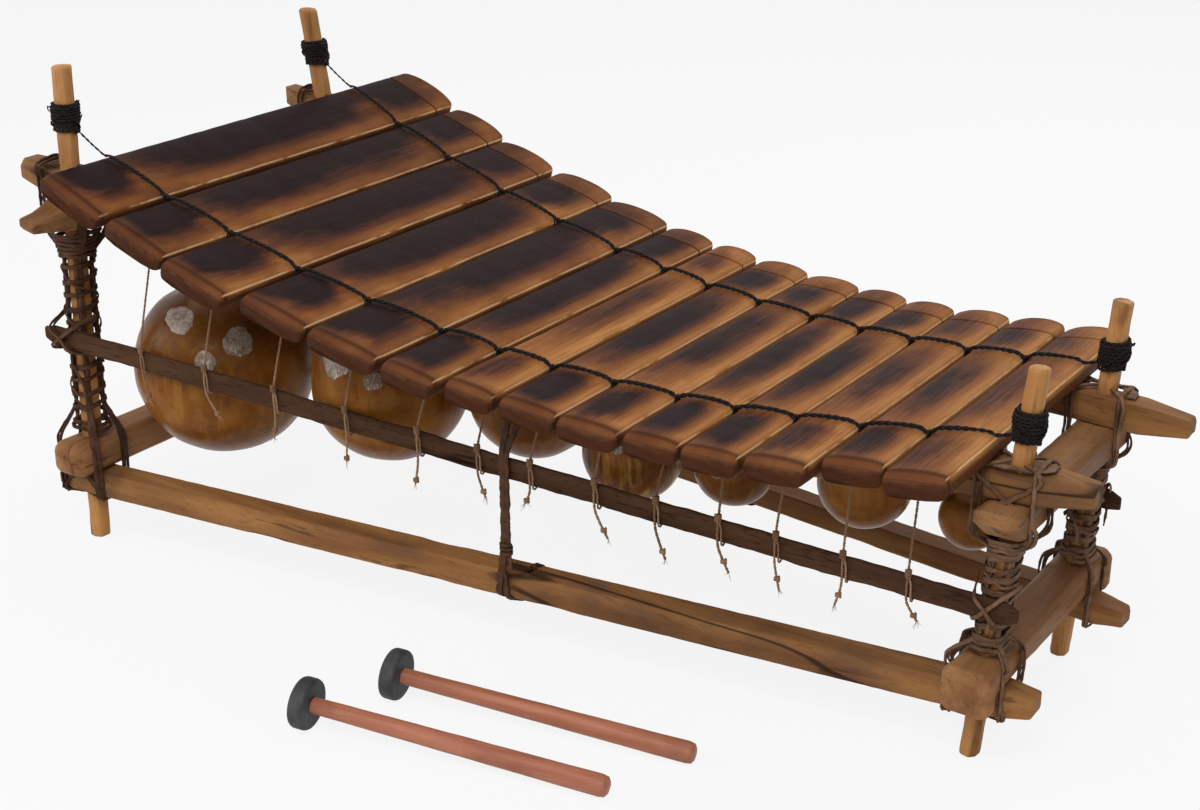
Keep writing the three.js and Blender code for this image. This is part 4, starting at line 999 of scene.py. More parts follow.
def make_cross_rails(material):
    for (kind, end), rail in CROSS_RAILS.items():
        name = "%s_cross_%s" % (kind, end)
        level, top = cross_levels(kind, end)
        near, far = post_at(end + "_near", level), post_at(end + "_far", level)
        start, stop = near[1] - rail["over"], far[1] + rail["over"]
        y = stations(start, stop, (0.8, 2.5), 5, 5, 4.5)
        distance, wide, tall, lift = np.array(rail["ends"], float).T
        wide, tall, lift = (
            np.interp(np.minimum(y - start, stop - y), distance, row) for row in (wide, tall, lift))
        tall = rail["height"] * tall
        centre = np.stack([np.full_like(y, near[0]), y, top + lift - tall / 2], -1)
        hewn(
            name + "_bar", name, material, centre, np.array([1, 0, rail["slope"]]),
            rail["width"] * wide, tall, CROSS_OUTLINE, rail["seed"], 0.7)


def lash_outer(name):
    """How far from a post's axis its lashing's strands run and how far they reach."""
    radius = 2.2 if name.startswith("bass") else 1.8
    strand = POSTS[name]["radius"] + SEAT + radius
    return strand, strand + (2 * radius + 0.5) / math.cos(math.pi / 8) + radius


class Strip:
    """The line of one mid strip, outside the posts."""

    def __init__(self, side):
        self.sign = SIGN[side]
        self.ends = []
        for end in ("bass", "treble"):
            name = end + "_" + side
            post = POSTS[name]
            lean = abs(post["top"][1] - post["foot"][1]) / post["height"]
            x, y, z = post_at(name, STRIP_Z[name])
            reach = lash_outer(name)[1] + SEAT + lean * STRIP_HALF
            self.ends.append((x, y + self.sign * reach, z))
        self.start, self.end = self.ends[0][0] - STRIP_OVERHANG, self.ends[1][0] + STRIP_OVERHANG

    def at(self, x, axis):
        (x0, *first), (x1, *second) = self.ends
        share = (np.asarray(x, float) - x0) / (x1 - x0)
        return mixed(first[axis], second[axis], share)

    def outer(self, x):
        return self.at(x, 0) + self.sign * STRIP_THICKNESS

    def z(self, x):
        return self.at(x, 1)


STRIPS = {side: Strip(side) for side in SIGN}
STRIP_OUTLINE = [(0, 0.5), (0.75, 0.5), (1, 0.35), (1, -0.4), (0.8, -0.5), (0, -0.5)]


def rounded(outline):
    """Cuts the corners of a closed outline twice."""
    outline = np.array(outline)
    for _ in range(2):
        after = np.roll(outline, -1, axis=0)
        cuts = [mixed(outline, after, share) for share in (0.22, 0.78)]
        outline = np.stack(cuts, 1).reshape(-1, 2)
    return outline


def make_strips(material):
    for side, sign in SIGN.items():
        strip = STRIPS[side]
        x = stations(strip.start, strip.end, (1, 3), 7, 6, 6.0)
        depth, rise = rounded(STRIP_OUTLINE).T
        shrink = tip_shares(x, strip.start, strip.end, 0.6, 0.6, 12, 12)
        tall = (STRIP_HEIGHT - 1 - np.abs(wobble(x, 0.8, 140, 61 + sign))) * shrink
        deep = 0.3 + depth * (STRIP_THICKNESS - 0.6) * shrink[:, None]
        middle = strip.z(x) + wobble(x, 1.0, 160, 71 + sign) * 0.5
        rings = np.stack([
            spread_over(x, len(depth)), strip.at(x, 0)[:, None] + sign * deep,
            middle[:, None] + rise * tall[:, None]], -1)
        rings[..., 2] += lumps(rings * [1, 0, 1], 0.5, 18, 81 + sign)
        shape = Shape()
        shape.grid(rings, seed=0.5 + 0.3 * sign)
        shape.make("lath_" + side, material, replaces=("strip_" + side,))


# Rawhide lashings, cords and strings

# For each end's columns: thickness and widths of the corner strands and how many laps they have,
# pitch and width of the rungs, slanting strands, the close turns under the upper crossing (turns,
# pitch, drop, flare), how far they stand off, and the number and turn of the tucked ends
LASHINGS = {
    "bass": dict(
        thick=2.3, widths=(4.0, 5.2), laps=(3, 3), pitch=14.0, rung=4.6, slants=2,
        close=(6.6, 4.3, 17, 8.0), off=1.0, tails=2, tail_turn=0.9),
    "treble": dict(
        thick=2.0, widths=(3.4, 4.4), laps=(3, 2), pitch=10.4, rung=5.4, slants=1,
        close=(4.0, 4.1, 11, 4.0), off=0.4, tails=1, tail_turn=1.44),
}
# Slanting strands: their turns, and from and to as shares of the column's height
SLANTS = ((2.6, 0.12, 0.9), (1.7, 0.2, 0.8))
BAND_AWAY = 1.5
# The layers of a cord winding: the cord's radius, its pitch, and the layer's height and middle
WINDING_LAYERS = ((1.45, 2.65, 27.0, 0.0), (1.3, 2.7, 15.0, 4.0))


def around(name, z, turn, radius):
    """A point beside a post."""
    return post_at(name, z) + compass(turn) * np.asarray(radius, float)[..., None]


def squared(name, turn, out):
    """How far from a post's axis a taut turn runs: a little further out over the corner strands."""
    bulge = (np.cos(turn) ** 4 + np.sin(turn) ** 4) ** -0.27
    return (POSTS[name]["radius"] + 1.9) * bulge + out


def add_band(shape, name, path, width, thickness, seed):
    """A band that wraps the crossings and the column of one post."""
    z = np.clip(path[:, 2], LOWER_BOTTOM + 16, LEVEL[name.split("_")[0]] - 2)
    add_strap(shape, path, unit(path - post_at(name, z)), width, thickness, seed)


def make_lashing(name, material):
    end, side = name.split("_")
    sign, kind = SIGN[side], LASHINGS[end]
    seed = 400 + name_seed(name)
    dice = np.random.default_rng(seed)
    cross_x = {level: post_at(name, cross_levels(level, end)[0])[0] for level in RAILS}
    over = cross_levels("lower", end)[1]
    under = cross_levels("upper", end)[1] - CROSS_RAILS["upper", end]["height"]
    span = under - over
    under_rail = LOWER_BOTTOM - BAND_AWAY

    def at_rail(level, sx, sy, z, extra):
        line = LINES[level, side]
        x = cross_x[level] + sx * (CROSS_RAILS[level, end]["width"] / 2 + BAND_AWAY + extra)
        share = line.shrink(x)
        if z < LOWER_LEVEL:
            z = LOWER_LEVEL + (z + BAND_AWAY - LOWER_LEVEL) * share - BAND_AWAY
        return [x, line.y(x) + sy * (RAILS[level]["width"] / 2 * share + BAND_AWAY), z]

    def low(sx, sy, z, extra):
        return at_rail("lower", sx, sy, z, extra)

    def high(sx, sy, z, extra):
        return at_rail("upper", sx, sy, z, extra)

    def above(sx, sy, extra):
        x, y, _ = high(sx, sy, 0, extra)
        return [x, y, rail_top(x) + BAND_AWAY]

    shape = Shape()
    # Strands run up each corner of the column, over the upper rail and under the lower one.
    for sx, laps in zip((-1, 1), kind["laps"]):
        for lap in range(laps):
            extra = 2.6 * lap - 1.0 + dice.uniform(-0.8, 0.8)
            swing = dice.uniform(-0.16, 0.16, 6)
            cross = -sx if lap == 1 else sx

            def drawn(sy, share, k):
                turn = math.atan2(sy, sx) + swing[k] + 0.13 * (lap - 1)
                reach = lash_outer(name)[0] - 0.4 + 0.7 * lap
                return around(name, over + share * span, turn, reach)

            loop = [
                low(cross, sign, under_rail, extra), low(cross, sign, LOWER_BOTTOM + 5, extra),
                low(sx, sign, over - 6, extra), low(sx, sign, over + 1, extra - 1),
                drawn(sign, 0.17, 0), drawn(sign, 0.5, 1), drawn(sign, 0.84, 2),
                high(sx, sign, under - 1, extra), high(sx, sign, under + 12, extra),
                high(cross, sign, LEVEL[end] + 7, extra), above(cross, sign, extra),
                above(sx, -sign, extra), high(sx, -sign, under + 24, extra),
                high(sx, -sign, under - 1, extra),
                drawn(-sign, 0.84, 3), drawn(-sign, 0.5, 4), drawn(-sign, 0.17, 5),
                low(sx, -sign, over + 1, extra), low(sx, -sign, LOWER_BOTTOM + 10, extra),
                low(sx, -sign, under_rail, extra), low(sx, 0, under_rail - 0.4, extra),
                low(cross, sign, under_rail, extra)]
            width = dice.uniform(*kind["widths"])
            path = smooth_path(loop, 3.0)
            add_band(shape, name, path, width, kind["thick"], seed + 10 * sx + lap)
    # A thicker strand stands at each corner of the column.
    share = np.linspace(0, 1, 60)
    for k in range(4):
        turn = math.pi / 4 + k * math.pi / 2 + wobble(share * 200, 0.07, 90, seed + 20 + k)
        reach = squared(name, turn, -1.2) + wobble(share * 200, 0.35, 40, seed + 25 + k)
        path = around(name, over + span * mixed(0.08, 0.93, share), turn, reach)
        radius = 2.0 * (1 + wobble(share * 200, 0.12, 24, seed + 28 + k))
        add_tube(shape, path, radius, 8, band=0.0, shade=0.3)

    def wind(turns, low, high, out, wave, width, thickness, seed, uneven=0.0, density=44):
        """A band wound round the column from one height to another, at a distance out(share)."""
        share = np.linspace(0, 1, int(abs(turns) * density))
        turn = dice.uniform(0, 6) + TAU * turns * share
        z = mixed(low, high, share) + wobble(share * 300, *wave)
        width = width * (1 + wobble(share * 300, uneven, 40, seed - 10))
        path = around(name, z, turn, squared(name, turn, out(share)))
        add_band(shape, name, path, width, thickness, seed)

    # The rungs: one long band round and round the column, with gaps that show the post
    wind(
        0.86 * span / kind["pitch"], over + 0.06 * span, over + 0.92 * span,
        lambda share: 0.9 + 1.2 * (2 * abs(share - 0.5)) ** 4, (1.3, 45, seed + 60), kind["rung"],
        kind["thick"], seed + 80, uneven=0.18)
    # Thinner strands wound the other way slant across the rungs.
    for k, (turns, low_share, high_share) in enumerate(SLANTS[:kind["slants"]]):
        wind(
            -turns, over + low_share * span, over + high_share * span,
            lambda share: 2.0 + 0.5 * k, (3.0, 80, seed + 90 + k), 2.4, 1.6, seed + 95 + k)
    # Close turns under the upper crossing and at the foot of the column draw the strands together.
    turns, pitch, drop, flare = kind["close"]
    for k, (turns, pitch, centre, flare) in enumerate((
            (turns, pitch, under - drop, flare), (1.9, 4.4, over + 11, 3.0))):
        half = pitch * turns / 2
        wind(
            turns, centre - half, centre + half,
            lambda share: 1.4 + flare * (1 - share if k else share) ** 1.5 + kind["off"],
            (0.7, 30, seed + 30 + k), 3.7, kind["thick"], seed + 50 + k, density=40)
    # A tucked end stands off the column.
    for k in range(kind["tails"]):
        z = over + dice.uniform(0.3, 0.75) * span
        turn = 2.4 * k - 0.3 - kind["tail_turn"]
        tail = [
            around(name, z + up, turn + way, squared(name, turn + way, out))
            for up, way, out in ((9, -0.5, 2.2), (0, 0, 4.6), (-9, 0.25, 3.4), (-20, 0.3, 5.6))]
        add_band(shape, name, smooth_path(tail, 2.0), 2.8, 1.6, seed + 33 + k)
    if end == "treble":
        # A pale flat band lies along the rail's top beside the post and folds over the rail's side.
        reach = POSTS[name]["radius"] + 3.5

        def on_top(dx, dy, up=1.4):
            x = cross_x["upper"] + dx
            return [x, LINES["upper", side].y(x) + sign * dy, rail_top(x) + up]

        flat = smooth_path([
            on_top(-46, -6), on_top(-30, 3), on_top(-8, reach * 0.9, 2.0),
            on_top(14, reach * 0.8, 2.0), on_top(24, 4), on_top(27, -8)], 1.6)
        add_strap(
            shape, flat, np.tile([0.0, 0.0, 1.0], (len(flat), 1)),
            np.linspace(6.5, 8.5, len(flat)), 1.6, seed + 99)
    shape.make("bands_" + name, material, replaces=("lashing_" + name,))


def make_strip_ties(name, material):
    """The crossed ties that hold a mid strip against one column."""
    end, side = name.split("_")
    sign, strip = SIGN[side], STRIPS[side]
    x = post_at(name, STRIP_Z[name])[0]
    z = strip.z(x)
    shape = Shape()
    for k in range(4 if end == "bass" else 2):
        way, lap = (1 if k % 2 else -1), k // 2
        front = strip.outer(x) + sign * (1.0 + 0.9 * k)
        spread = way * sign * (9 + 3.5 * lap)

        def beside(up, past, turn, out):
            turn = math.pi / 2 * sign - up * way * turn
            return around(name, z + up * (STRIP_HALF + past), turn, lash_outer(name)[1] + out)

        path = smooth_path([
            beside(1, 6 + 3 * lap, 1.5, 0.6), beside(1, 4 + 2 * lap, 0.95, 1.4),
            [x + spread, front, z + STRIP_HALF - 1], [x, front, z + 1.5 * (lap - 0.5)],
            [x - spread, front, z - STRIP_HALF + 1],
            beside(-1, 4 + 2 * lap, 0.95, 1.4), beside(-1, 6 + 3 * lap, 1.5, 0.6)], 1.5)
        out = np.array([0, sign, 0]) + unit(path - post_at(name, path[:, 2])) * 0.6
        add_strap(shape, path, out, 3.6, 1.7, 700 + k + name_seed(name))
    shape.make("cross_tie_" + name, material)


def winding_level(name):
    return WINDING_SHARE[name.split("_")[0]] * POSTS[name]["height"]


def make_winding(name, material):
    """Two layers of tight cord, with turns that slant across them and a few loose ends."""
    seed = 300 + name_seed(name)
    dice = np.random.default_rng(seed)
    level = winding_level(name)
    shape = Shape()
    inner = POSTS[name]["radius"] + SEAT
    for layer, (radius, pitch, height, centre) in enumerate(WINDING_LAYERS):
        turns = height / pitch
        share = np.linspace(0, 1, int(turns * 44))
        turn = TAU * turns * share
        z = level + centre + height * (share - 0.5) + wobble(share * 300, 0.35, 50, seed + layer)
        z = z + 0.7 * np.sin(turn + seed) * (1 - layer * 0.4)
        reach = inner + radius - 0.2 + layer * 1.6 + wobble(share * 300, 0.22, 36, seed + 8 + layer)
        add_rope(shape, around(name, z, turn, reach), radius, 8.5, 8, seed)
    share = np.linspace(0, 1, 60)
    for k in range(4):
        turn = dice.uniform(0, 6) + dice.uniform(1.6, 3.0) * share
        z = level + 1.5 + (share - 0.5) * dice.uniform(16, 25) * (-1 if k % 2 else 1)
        lift = inner + 2.6 + 1.2 * np.sin(math.pi * share) ** 0.5
        add_rope(shape, around(name, z, turn, lift), 1.05, 8.0, 8, seed + 5 + k)
    for _ in range(3):
        turn = dice.uniform(0, 6)
        z = level + dice.uniform(-8, 12)
        loop = [
            around(name, z + up, turn + way, inner + out)
            for up, way, out in ((0, 0, 3), (2, 0.15, 5.5), (-1.5, 0.35, 5.2), (-2, 0.5, 3))]
        add_tube(shape, smooth_path(loop, 1.0), 0.6)
    shape.make("coil_" + name, material, replaces=("winding_" + name,))


def on_cord(side, arc, drop, lift):
    place = on_bow(arc, BOW_RADIUS + drop - lift)
    place[1] = cord_y(side, place[0])
    return place


def gap_point(side, i):
    """Where a key cord passes a gap: as low as the two keys let it."""
    arc, gap = GAPS[i]
    sunk = gap / 2 >= CORD_REACH
    lift = 2 * SEAT if sunk else math.sqrt(CORD_REACH**2 - (gap / 2) ** 2) + SEAT
    return on_cord(side, arc, KEY_CROWN, lift)


def cord_points(side):
    """The key cord rides the crowns and dips a little at each gap."""
    lift = 1.15 * CORD_REACH
    points = []
    for i, key in enumerate(KEYS):
        for share, drop in ((-0.42, 2.0), (-0.22, 0.45), (0.0, 0.0), (0.22, 0.45), (0.42, 2.0)):
            points.append(on_cord(side, key["arc"] + share * key["width"], drop, lift - 0.35))
        if i < len(GAPS):
            points.append(gap_point(side, i) + 0.7 * UP)

    def to_post(end, key, way):
        """From a cord winding to the edge of the key beside it."""
        name = end + "_" + side
        start = on_cord(side, key["arc"] + way * 0.5 * key["width"], KEY_CROWN, lift + 0.3)
        centre = post_at(name, winding_level(name) - 9)
        away = unit((start - centre) * [1, 1, 0])
        first = centre + away * (POSTS[name]["radius"] + SEAT + 2.2)
        sag = 0.5 * UP
        return [first, mixed(first, start, 0.33) - sag, mixed(first, start, 0.66) - sag, start]

    return to_post("bass", KEYS[0], -1) + points + to_post("treble", KEYS[-1], 1)[::-1]


def add_gap_loops(shape, side):
    """At each gap dark loops go round the key cord and down between the keys."""
    sign = SIGN[side]
    for i in range(len(GAPS)):
        dice = np.random.default_rng(860 + i)
        centre = gap_point(side, i)
        for k in range(2):
            shift = dice.uniform(1.2, 2.6) * (-1 if k else 1)
            loop = centre + np.array([
                (0.0, sign * 2.0 + shift, -8.5), (0.5, sign * 2.4 + shift, -3.0),
                (0.4, sign * 1.2 + shift, 1.6), (-0.2, shift * 0.6, 2.9),
                (-0.4, -sign * 1.4 + shift, 1.4), (-0.4, -sign * 2.3 + shift, -3.0),
                (0.0, -sign * 2.0 + shift, -8.5)])
            add_rope(shape, smooth_path(loop, 1.2), 0.95, 5.5, seed=870 + 2 * i + k)


def make_key_cord(side, material):
    shape = Shape()
    path = smooth_path(cord_points(side), 1.6)
    run = path_run(path)
    path[:, 1] += wobble(run, 0.6, 120, 88)
    # Thin where it is a single cord beside each post, doubled over the keys
    width = CORD_RADIUS * mixed(0.5, 0.98, eased(run, 26, 62))
    width = width * mixed(1, 0.85, eased(run, run[-1] - 45, run[-1] - 22))
    add_rope(shape, path, width * (1 + wobble(run, 0.1, 34, 87)), 13.0, 8, 12)
    thin = path + np.stack([0 * run, wobble(run, 1.1, 26, 84), 0.7 + 0 * run], -1)
    add_rope(shape, thin[(run > 44) & (run < run[-1] - 30)], 1.0, 9.0, seed=13)
    add_gap_loops(shape, side)
    shape.make("string_line_" + side, material, replaces=("key_cord_" + side,))


def make_drop_strings(side, material):
    sign, strip = SIGN[side], STRIPS[side]
    shape = Shape()
    for i, (arc, _) in enumerate(GAPS):
        dice = np.random.default_rng(900 + 20 * i + (side == "far"))
        radius = dice.uniform(1.25, 1.5)
        start = gap_point(side, i)
        x, _, top = on_bow(arc, RAIL_TOP_RADIUS - 1.2)
        rail_y = LINES["upper", side].y(x)

        def on_rail(out, drop):
            return [x, rail_y + sign * out, top - drop * UPPER_HEIGHT]

        front = strip.outer(x) + sign * 1.0
        z = strip.z(x)
        hung = x + dice.uniform(-2.5, 2.5)
        tail = dice.uniform(15, 31)
        drift = dice.uniform(5, 17) * (-0.4 if dice.uniform() < 0.2 else 1)

        def at_strip(dx, out, edge, up):
            return [hung + dx, front + sign * out, z + edge * STRIP_HALF + up]

        points = [
            start + [0, sign * 0.5, -5.5], start + [0, sign * 4, -6.5],
            on_rail(0.24 * UPPER_WIDTH + 0.8, 0), on_rail(UPPER_WIDTH / 2 + 1.0, 0.34),
            on_rail(UPPER_WIDTH / 2 + 0.9, 0.95), at_strip(0, 0, 1, 1), at_strip(0, 0, -1, -1),
            at_strip(drift * 0.3, -0.6, -1, -tail * 0.45), at_strip(drift, -0.5, -1, -tail)]
        add_rope(
            shape, smooth_path(points, 1.7), radius, 5.0, seed=30 + i,
            shade=dice.uniform(0, 1), fray=0.0)
        # The string goes round the strip, and a hitch binds it to itself over the upper edge.
        turn = np.linspace(0, TAU * 3.4, 60)
        at = np.array([x + (hung - x) * 0.8, front, z + STRIP_HALF + 2.5])
        ring = (radius + 0.9) * compass(turn) * [1, sign, 1]
        hitch = at + ring + np.linspace(-3.2, 3.2, 60)[:, None] * UP
        add_tube(shape, hitch, radius * 0.62, shade=dice.uniform(0, 0.6), fray=0.0)
        back = smooth_path([
            at_strip(0, 0.6, 1, 2), at_strip(3, 0.5, 0.4, 0), at_strip(3.6, 0, -1, 0),
            at_strip(3.4, -4, -1, -1.4), at_strip(2.0, -7.6, -1, 1)], 1.7)
        add_rope(shape, back, radius * 0.85, 5.0, seed=50 + i, shade=dice.uniform(0, 1), fray=0.0)
        # A small knot part of the way down the tail
        turn = np.linspace(0, TAU * 2.2, 40)
        last, end = np.array(points[-2:])
        at = mixed(last, end, dice.uniform(0.2, 0.9))
        ring = compass(turn) * [1.9, 1.7, 0] + np.linspace(-1.9, 1.9, 40)[:, None] * UP
        add_tube(shape, at + ring, radius * 0.75, shade=dice.uniform(0, 1), fray=0.0)
        # A frayed end
        for _ in range(5):
            spread = dice.normal(0, 1.6, 3)
            tip = end + [spread[0] * 1.5, spread[1], -dice.uniform(2, 7)]
            fibre = smooth_path([last, end + spread * 0.3, tip], 2.0)
            width = np.linspace(0.42, 0.16, len(fibre))
            add_tube(shape, fibre, width, 4, shade=dice.uniform(0, 1), fray=1.0)
    shape.make("drop_strings_" + side, material)


TIE_X = {"near": 24.0, "far": 92.0}


def make_middle_tie(side, material):
    """Two bands round the upper and the lower long rail, drawn together and knotted."""
    sign, strip, x = SIGN[side], STRIPS[side], TIE_X[side]

    # Each point of a band is followed by its outward direction there.
    def at_rail(kind, dx, out, z, up):
        y = LINES[kind, side].y(x + dx) + sign * out * (RAILS[kind]["width"] / 2 + 1.6)
        return [x + dx, y, z, 0.0, sign * out, up]

    def upper(dx, out, z, up=0.0):
        return at_rail("upper", dx, out, z, up)

    def lower(dx, out, z, up=0.0):
        return at_rail("lower", dx, out, z, up)

    def front(dx, z, lift=0.0):
        return [x + dx, strip.outer(x + dx) + sign * (1.6 + lift), z, 0.0, sign, 0.0]

    high, low = strip.z(x) + STRIP_HALF, strip.z(x) - STRIP_HALF
    top = rail_top(x) - 1.2
    foot = rail_top(x) - UPPER_HEIGHT
    first = [
        lower(-10, 0.2, LOWER_BOTTOM - 2, -1), lower(-10, 1, LOWER_BOTTOM + 3),
        lower(-9, 1, LOWER_TOP - 2), front(-4.5, LOWER_TOP + 14, 0.6),
        front(-2.6, LOWER_TOP + 34), front(-2.4, low - 8), front(-2.6, high + 4),
        upper(-5, 1, foot - 2), upper(-6, 1, top - 8), upper(-6, 0.6, top, 1),
        upper(-5, -0.6, top, 1), upper(-5, -1, top - 8), upper(-5, -1, foot)]
    second = [
        upper(6, -1, foot + 4), upper(7, -1, foot - 4), upper(6, 0.6, foot - 3),
        front(4, high + 10, 0.8), front(2.6, low + STRIP_HALF, 1.2), front(2.4, low - 8, 0.8),
        front(2.6, LOWER_TOP + 34, 0.8), front(5, LOWER_TOP + 14, 0.5),
        lower(9, 0.2, LOWER_TOP + 2.5), lower(10, -0.6, LOWER_TOP + 2.2),
        lower(10, -1, LOWER_TOP - 3), lower(10, -1, LOWER_BOTTOM + 2),
        lower(10, -0.3, LOWER_BOTTOM - 2.2, -1), lower(7, 0.5, LOWER_BOTTOM - 2.2, -1),
        lower(-2, 1, LOWER_BOTTOM + 3), lower(-4, 1, LOWER_TOP - 3),
        front(-2, LOWER_TOP + 10, 1.6), front(-0.5, LOWER_TOP + 26, 2.0)]
    # The last is a short tail of the band beside its knot on the lower part.
    tail = [
        front(3, LOWER_TOP + 26, 1.0), front(6, LOWER_TOP + 20, 3.0), front(7, LOWER_TOP + 12, 4.0)]
    shape = Shape()

    def strap(points, step, width, thickness, seed):
        both = smooth_path(points, step)
        add_strap(shape, both[:, :3], both[:, 3:], width, thickness, seed)

    strap(first, 1.8, 6.0, 2.2, 810)
    strap(second, 1.8, 5.6, 2.2, 811)
    # Binding turns just under the strip, where the two bands are drawn together
    turn = np.linspace(0, TAU * 2.4, 100)
    middle = np.array([x, strip.outer(x) + sign * 1.8, LOWER_TOP + 30])
    out = compass(turn) * [1, sign, 1]
    bind = middle + out * [6.2, 3.4, 0] + np.linspace(5, -5, 100)[:, None] * UP
    add_strap(shape, bind, out, 3.0, 1.4, 820)
    strap(tail, 1.5, 3.4, 1.4, 830)
    shape.make("middle_tie_" + side, material, replaces=("tie_" + side,))


# Gourds

# Each row: key number, then along, across and below the key's crown, and radius, in hundreds of mm
GOURDS = [
    (1, 0.214, 1.04, 1.969, 0.86), (2, -0.358, -1.11, 1.728, 0.89), (3, 0.467, 0.96, 1.394, 0.77),
    (4, 0.201, -1.0, 1.072, 0.74), (5, 0.295, 0.95, 0.891, 0.55), (6, 0.103, -0.55, 0.742, 0.62),
    (7, 0.109, 0.86, 0.768, 0.45), (8, 0.225, -0.8, 0.825, 0.45), (9, 0.021, 0.82, 0.753, 0.4),
    (10, 0.041, -0.7, 0.732, 0.35), (11, -0.001, 0.75, 0.720, 0.34), (12, 0.112, -0.5, 0.706, 0.4),
    (13, -0.019, 0.67, 0.783, 0.3), (14, -0.050, -0.47, 0.920, 0.27)]
GOURD_WALL = 4.5
# A gourd's body in profile, as shares of its radius
GOURD_OUTLINE = [
    (0, -1), (0.27, -0.965), (0.5, -0.87), (0.71, -0.71), (0.87, -0.5), (0.97, -0.25), (1, 0),
    (0.975, 0.22), (0.9, 0.44), (0.78, 0.62)]
STREAKED_GOURD = 8


def mouth_y(number, slope):
    """Where the mouth's middle lies across the row, read from the solid's own rim."""
    points = from_row(node_points("gourd_%02d" % number))
    level = points[:, 2] - slope * points[:, 0]
    return points[level > level.max() - 1.0].mean(0)[1]


def gourd_profile(radius, mouth_radius, shoulder_up, mouth_up):
    """Up the outside, over the rim and down the inside of the shell: distances and heights."""
    shoulder = mouth_radius + (radius - mouth_radius) * 0.2
    outline = [(a * radius, b * radius, 0) for a, b in GOURD_OUTLINE] + [
        (shoulder, shoulder_up, 0), (mouth_radius, (shoulder_up + mouth_up) / 2, 0),
        (mouth_radius, mouth_up - 1, 0)]
    outer = smooth_path(outline, radius / 16)[:, :2]
    outer[0] = (0.01, -radius)
    inner = outer[::-1][1:-3] - [GOURD_WALL, 0]
    inner[:, 0] = np.maximum(inner[:, 0], 0.02)
    rim = [
        (mouth_radius - 0.6, mouth_up - 0.2), (mouth_radius - GOURD_WALL / 2, mouth_up),
        (mouth_radius - GOURD_WALL + 0.6, mouth_up - 0.3)]
    return np.vstack([outer, rim, inner[inner[:, 1] > -0.2 * radius]])


def make_gourd(number, along, across, below, radius, material):
    arc = KEYS[number - 1]["arc"]
    crown = on_bow(arc, BOW_RADIUS)
    x, y, z = crown[0] + 100 * along, 100 * across, crown[2] - 100 * below
    radius = 100 * radius
    slope = math.tan(arc / BOW_RADIUS)
    mouth_radius = max(13, 0.36 * radius)
    mouth = on_bow(arc, BOW_RADIUS + KEY_THICKNESS + 3)
    mouth_up = mouth[2] - z
    shoulder_up = min(0.86 * radius, mouth_up - 2 * GOURD_WALL)
    profile = gourd_profile(radius, mouth_radius, shoulder_up, mouth_up)
    sides = 72
    turn = turns_of(sides)
    reach, rise = (spread_over(column, sides) for column in profile.T)
    local = reach[..., None] * compass(turn) + rise[..., None] * UP
    push = lumps(local, 0.011 * radius, radius * 1.1, 200 + number) - 0.006 * radius
    fade = 1 - eased(rise, shoulder_up * 0.8, mouth_up * 0.9)
    local *= (1 + push * fade / np.maximum(np.linalg.norm(local, axis=-1), 4))[..., None]
    px, py, pz = np.moveaxis(local, -1, 0)
    # The neck leans towards its mouth under the key, clear of the upper rail.
    lean_up = rail_top(mouth[0] + math.copysign(mouth_radius, slope)) - UPPER_HEIGHT - z
    neck = clamp01(pz / ((shoulder_up + mouth_up) / 2)) ** 2
    lean = clamp01(pz / lean_up) ** 2
    rings = np.stack([
        x + px + neck * (mouth[0] - x), y + py + lean * (mouth_y(number, slope) - y),
        z + pz + slope * px * eased(pz, 0, mouth_up)], -1)
    shape = Shape()
    dice = np.random.default_rng(240 + number)
    shape.grid(
        rings, caps=False, height=pz / radius, seed=dice.uniform(0, 1),
        streak=1.0 if number == STREAKED_GOURD else 0.25, spot=local * MM + dice.uniform(-3, 3, 3))
    name = "%02d" % number
    return shape.make("calabash_" + name, material, replaces=("gourd_" + name,))


# Each row: the gourd, the patch's middle and size in the photograph, how pale and whether square
PATCHES = [
    (2, 180, 320, 14, 1.0, 0), (2, 238, 342, 15, 1.0, 0), (2, 205, 362, 11, 0.8, 0),
    (4, 337, 364, 13, 1.0, 1), (4, 373, 381, 9, 0.35, 1), (8, 617, 448, 7, 0.3, 0),
    (10, 718, 472, 7, 0.35, 0)]
# A patch's rings: shares of its size, and how far each stands off the gourd
PATCH_RINGS = ((0.02, 0.34), (0.3, 0.36), (0.6, 0.34), (0.85, 0.36), (0.96, 0.3), (1.0, 0.05))


def make_patches(gourds, material):
    """Thin membranes glued over small holes, set by the lines of sight through the photograph."""
    turn = turns_of(36)
    for k, (number, u, v, size, pale, square) in enumerate(PATCHES):
        mesh = gourds[number].data
        tree = BVHTree.FromPolygons(
            [p.co for p in mesh.vertices], [tuple(f.vertices) for f in mesh.polygons])
        dice = np.random.default_rng(500 + k)
        edge = 1.0
        for amount, waves in ((0.06, 3), (0.03, 7), (0.035, 13)):
            edge = edge + amount * np.sin(waves * turn + dice.uniform(0, 6))
        if square:
            reach = np.maximum(np.abs(np.cos(turn + 0.3)), np.abs(np.sin(turn + 0.3)))
            edge = edge * np.minimum(1.13, 1 / reach)
        rings = []
        for share, lift in PATCH_RINGS:
            ring = []
            for angle, stretch in zip(turn, size * share * edge):
                start, way = pixel_ray(
                    u + stretch * math.cos(angle), v + stretch * math.sin(angle))
                place, normal, _, _ = tree.ray_cast(start, way)
                if normal.dot(way) > 0:
                    normal = -normal
                ring.append(from_row(place + normal * lift * MM))
            rings.append(ring)
        shape = Shape()
        shape.grid(rings, pale=pale, share=np.array(PATCH_RINGS)[:, :1])
        shape.make("membrane_%d" % (k + 1), material)


# Mallets

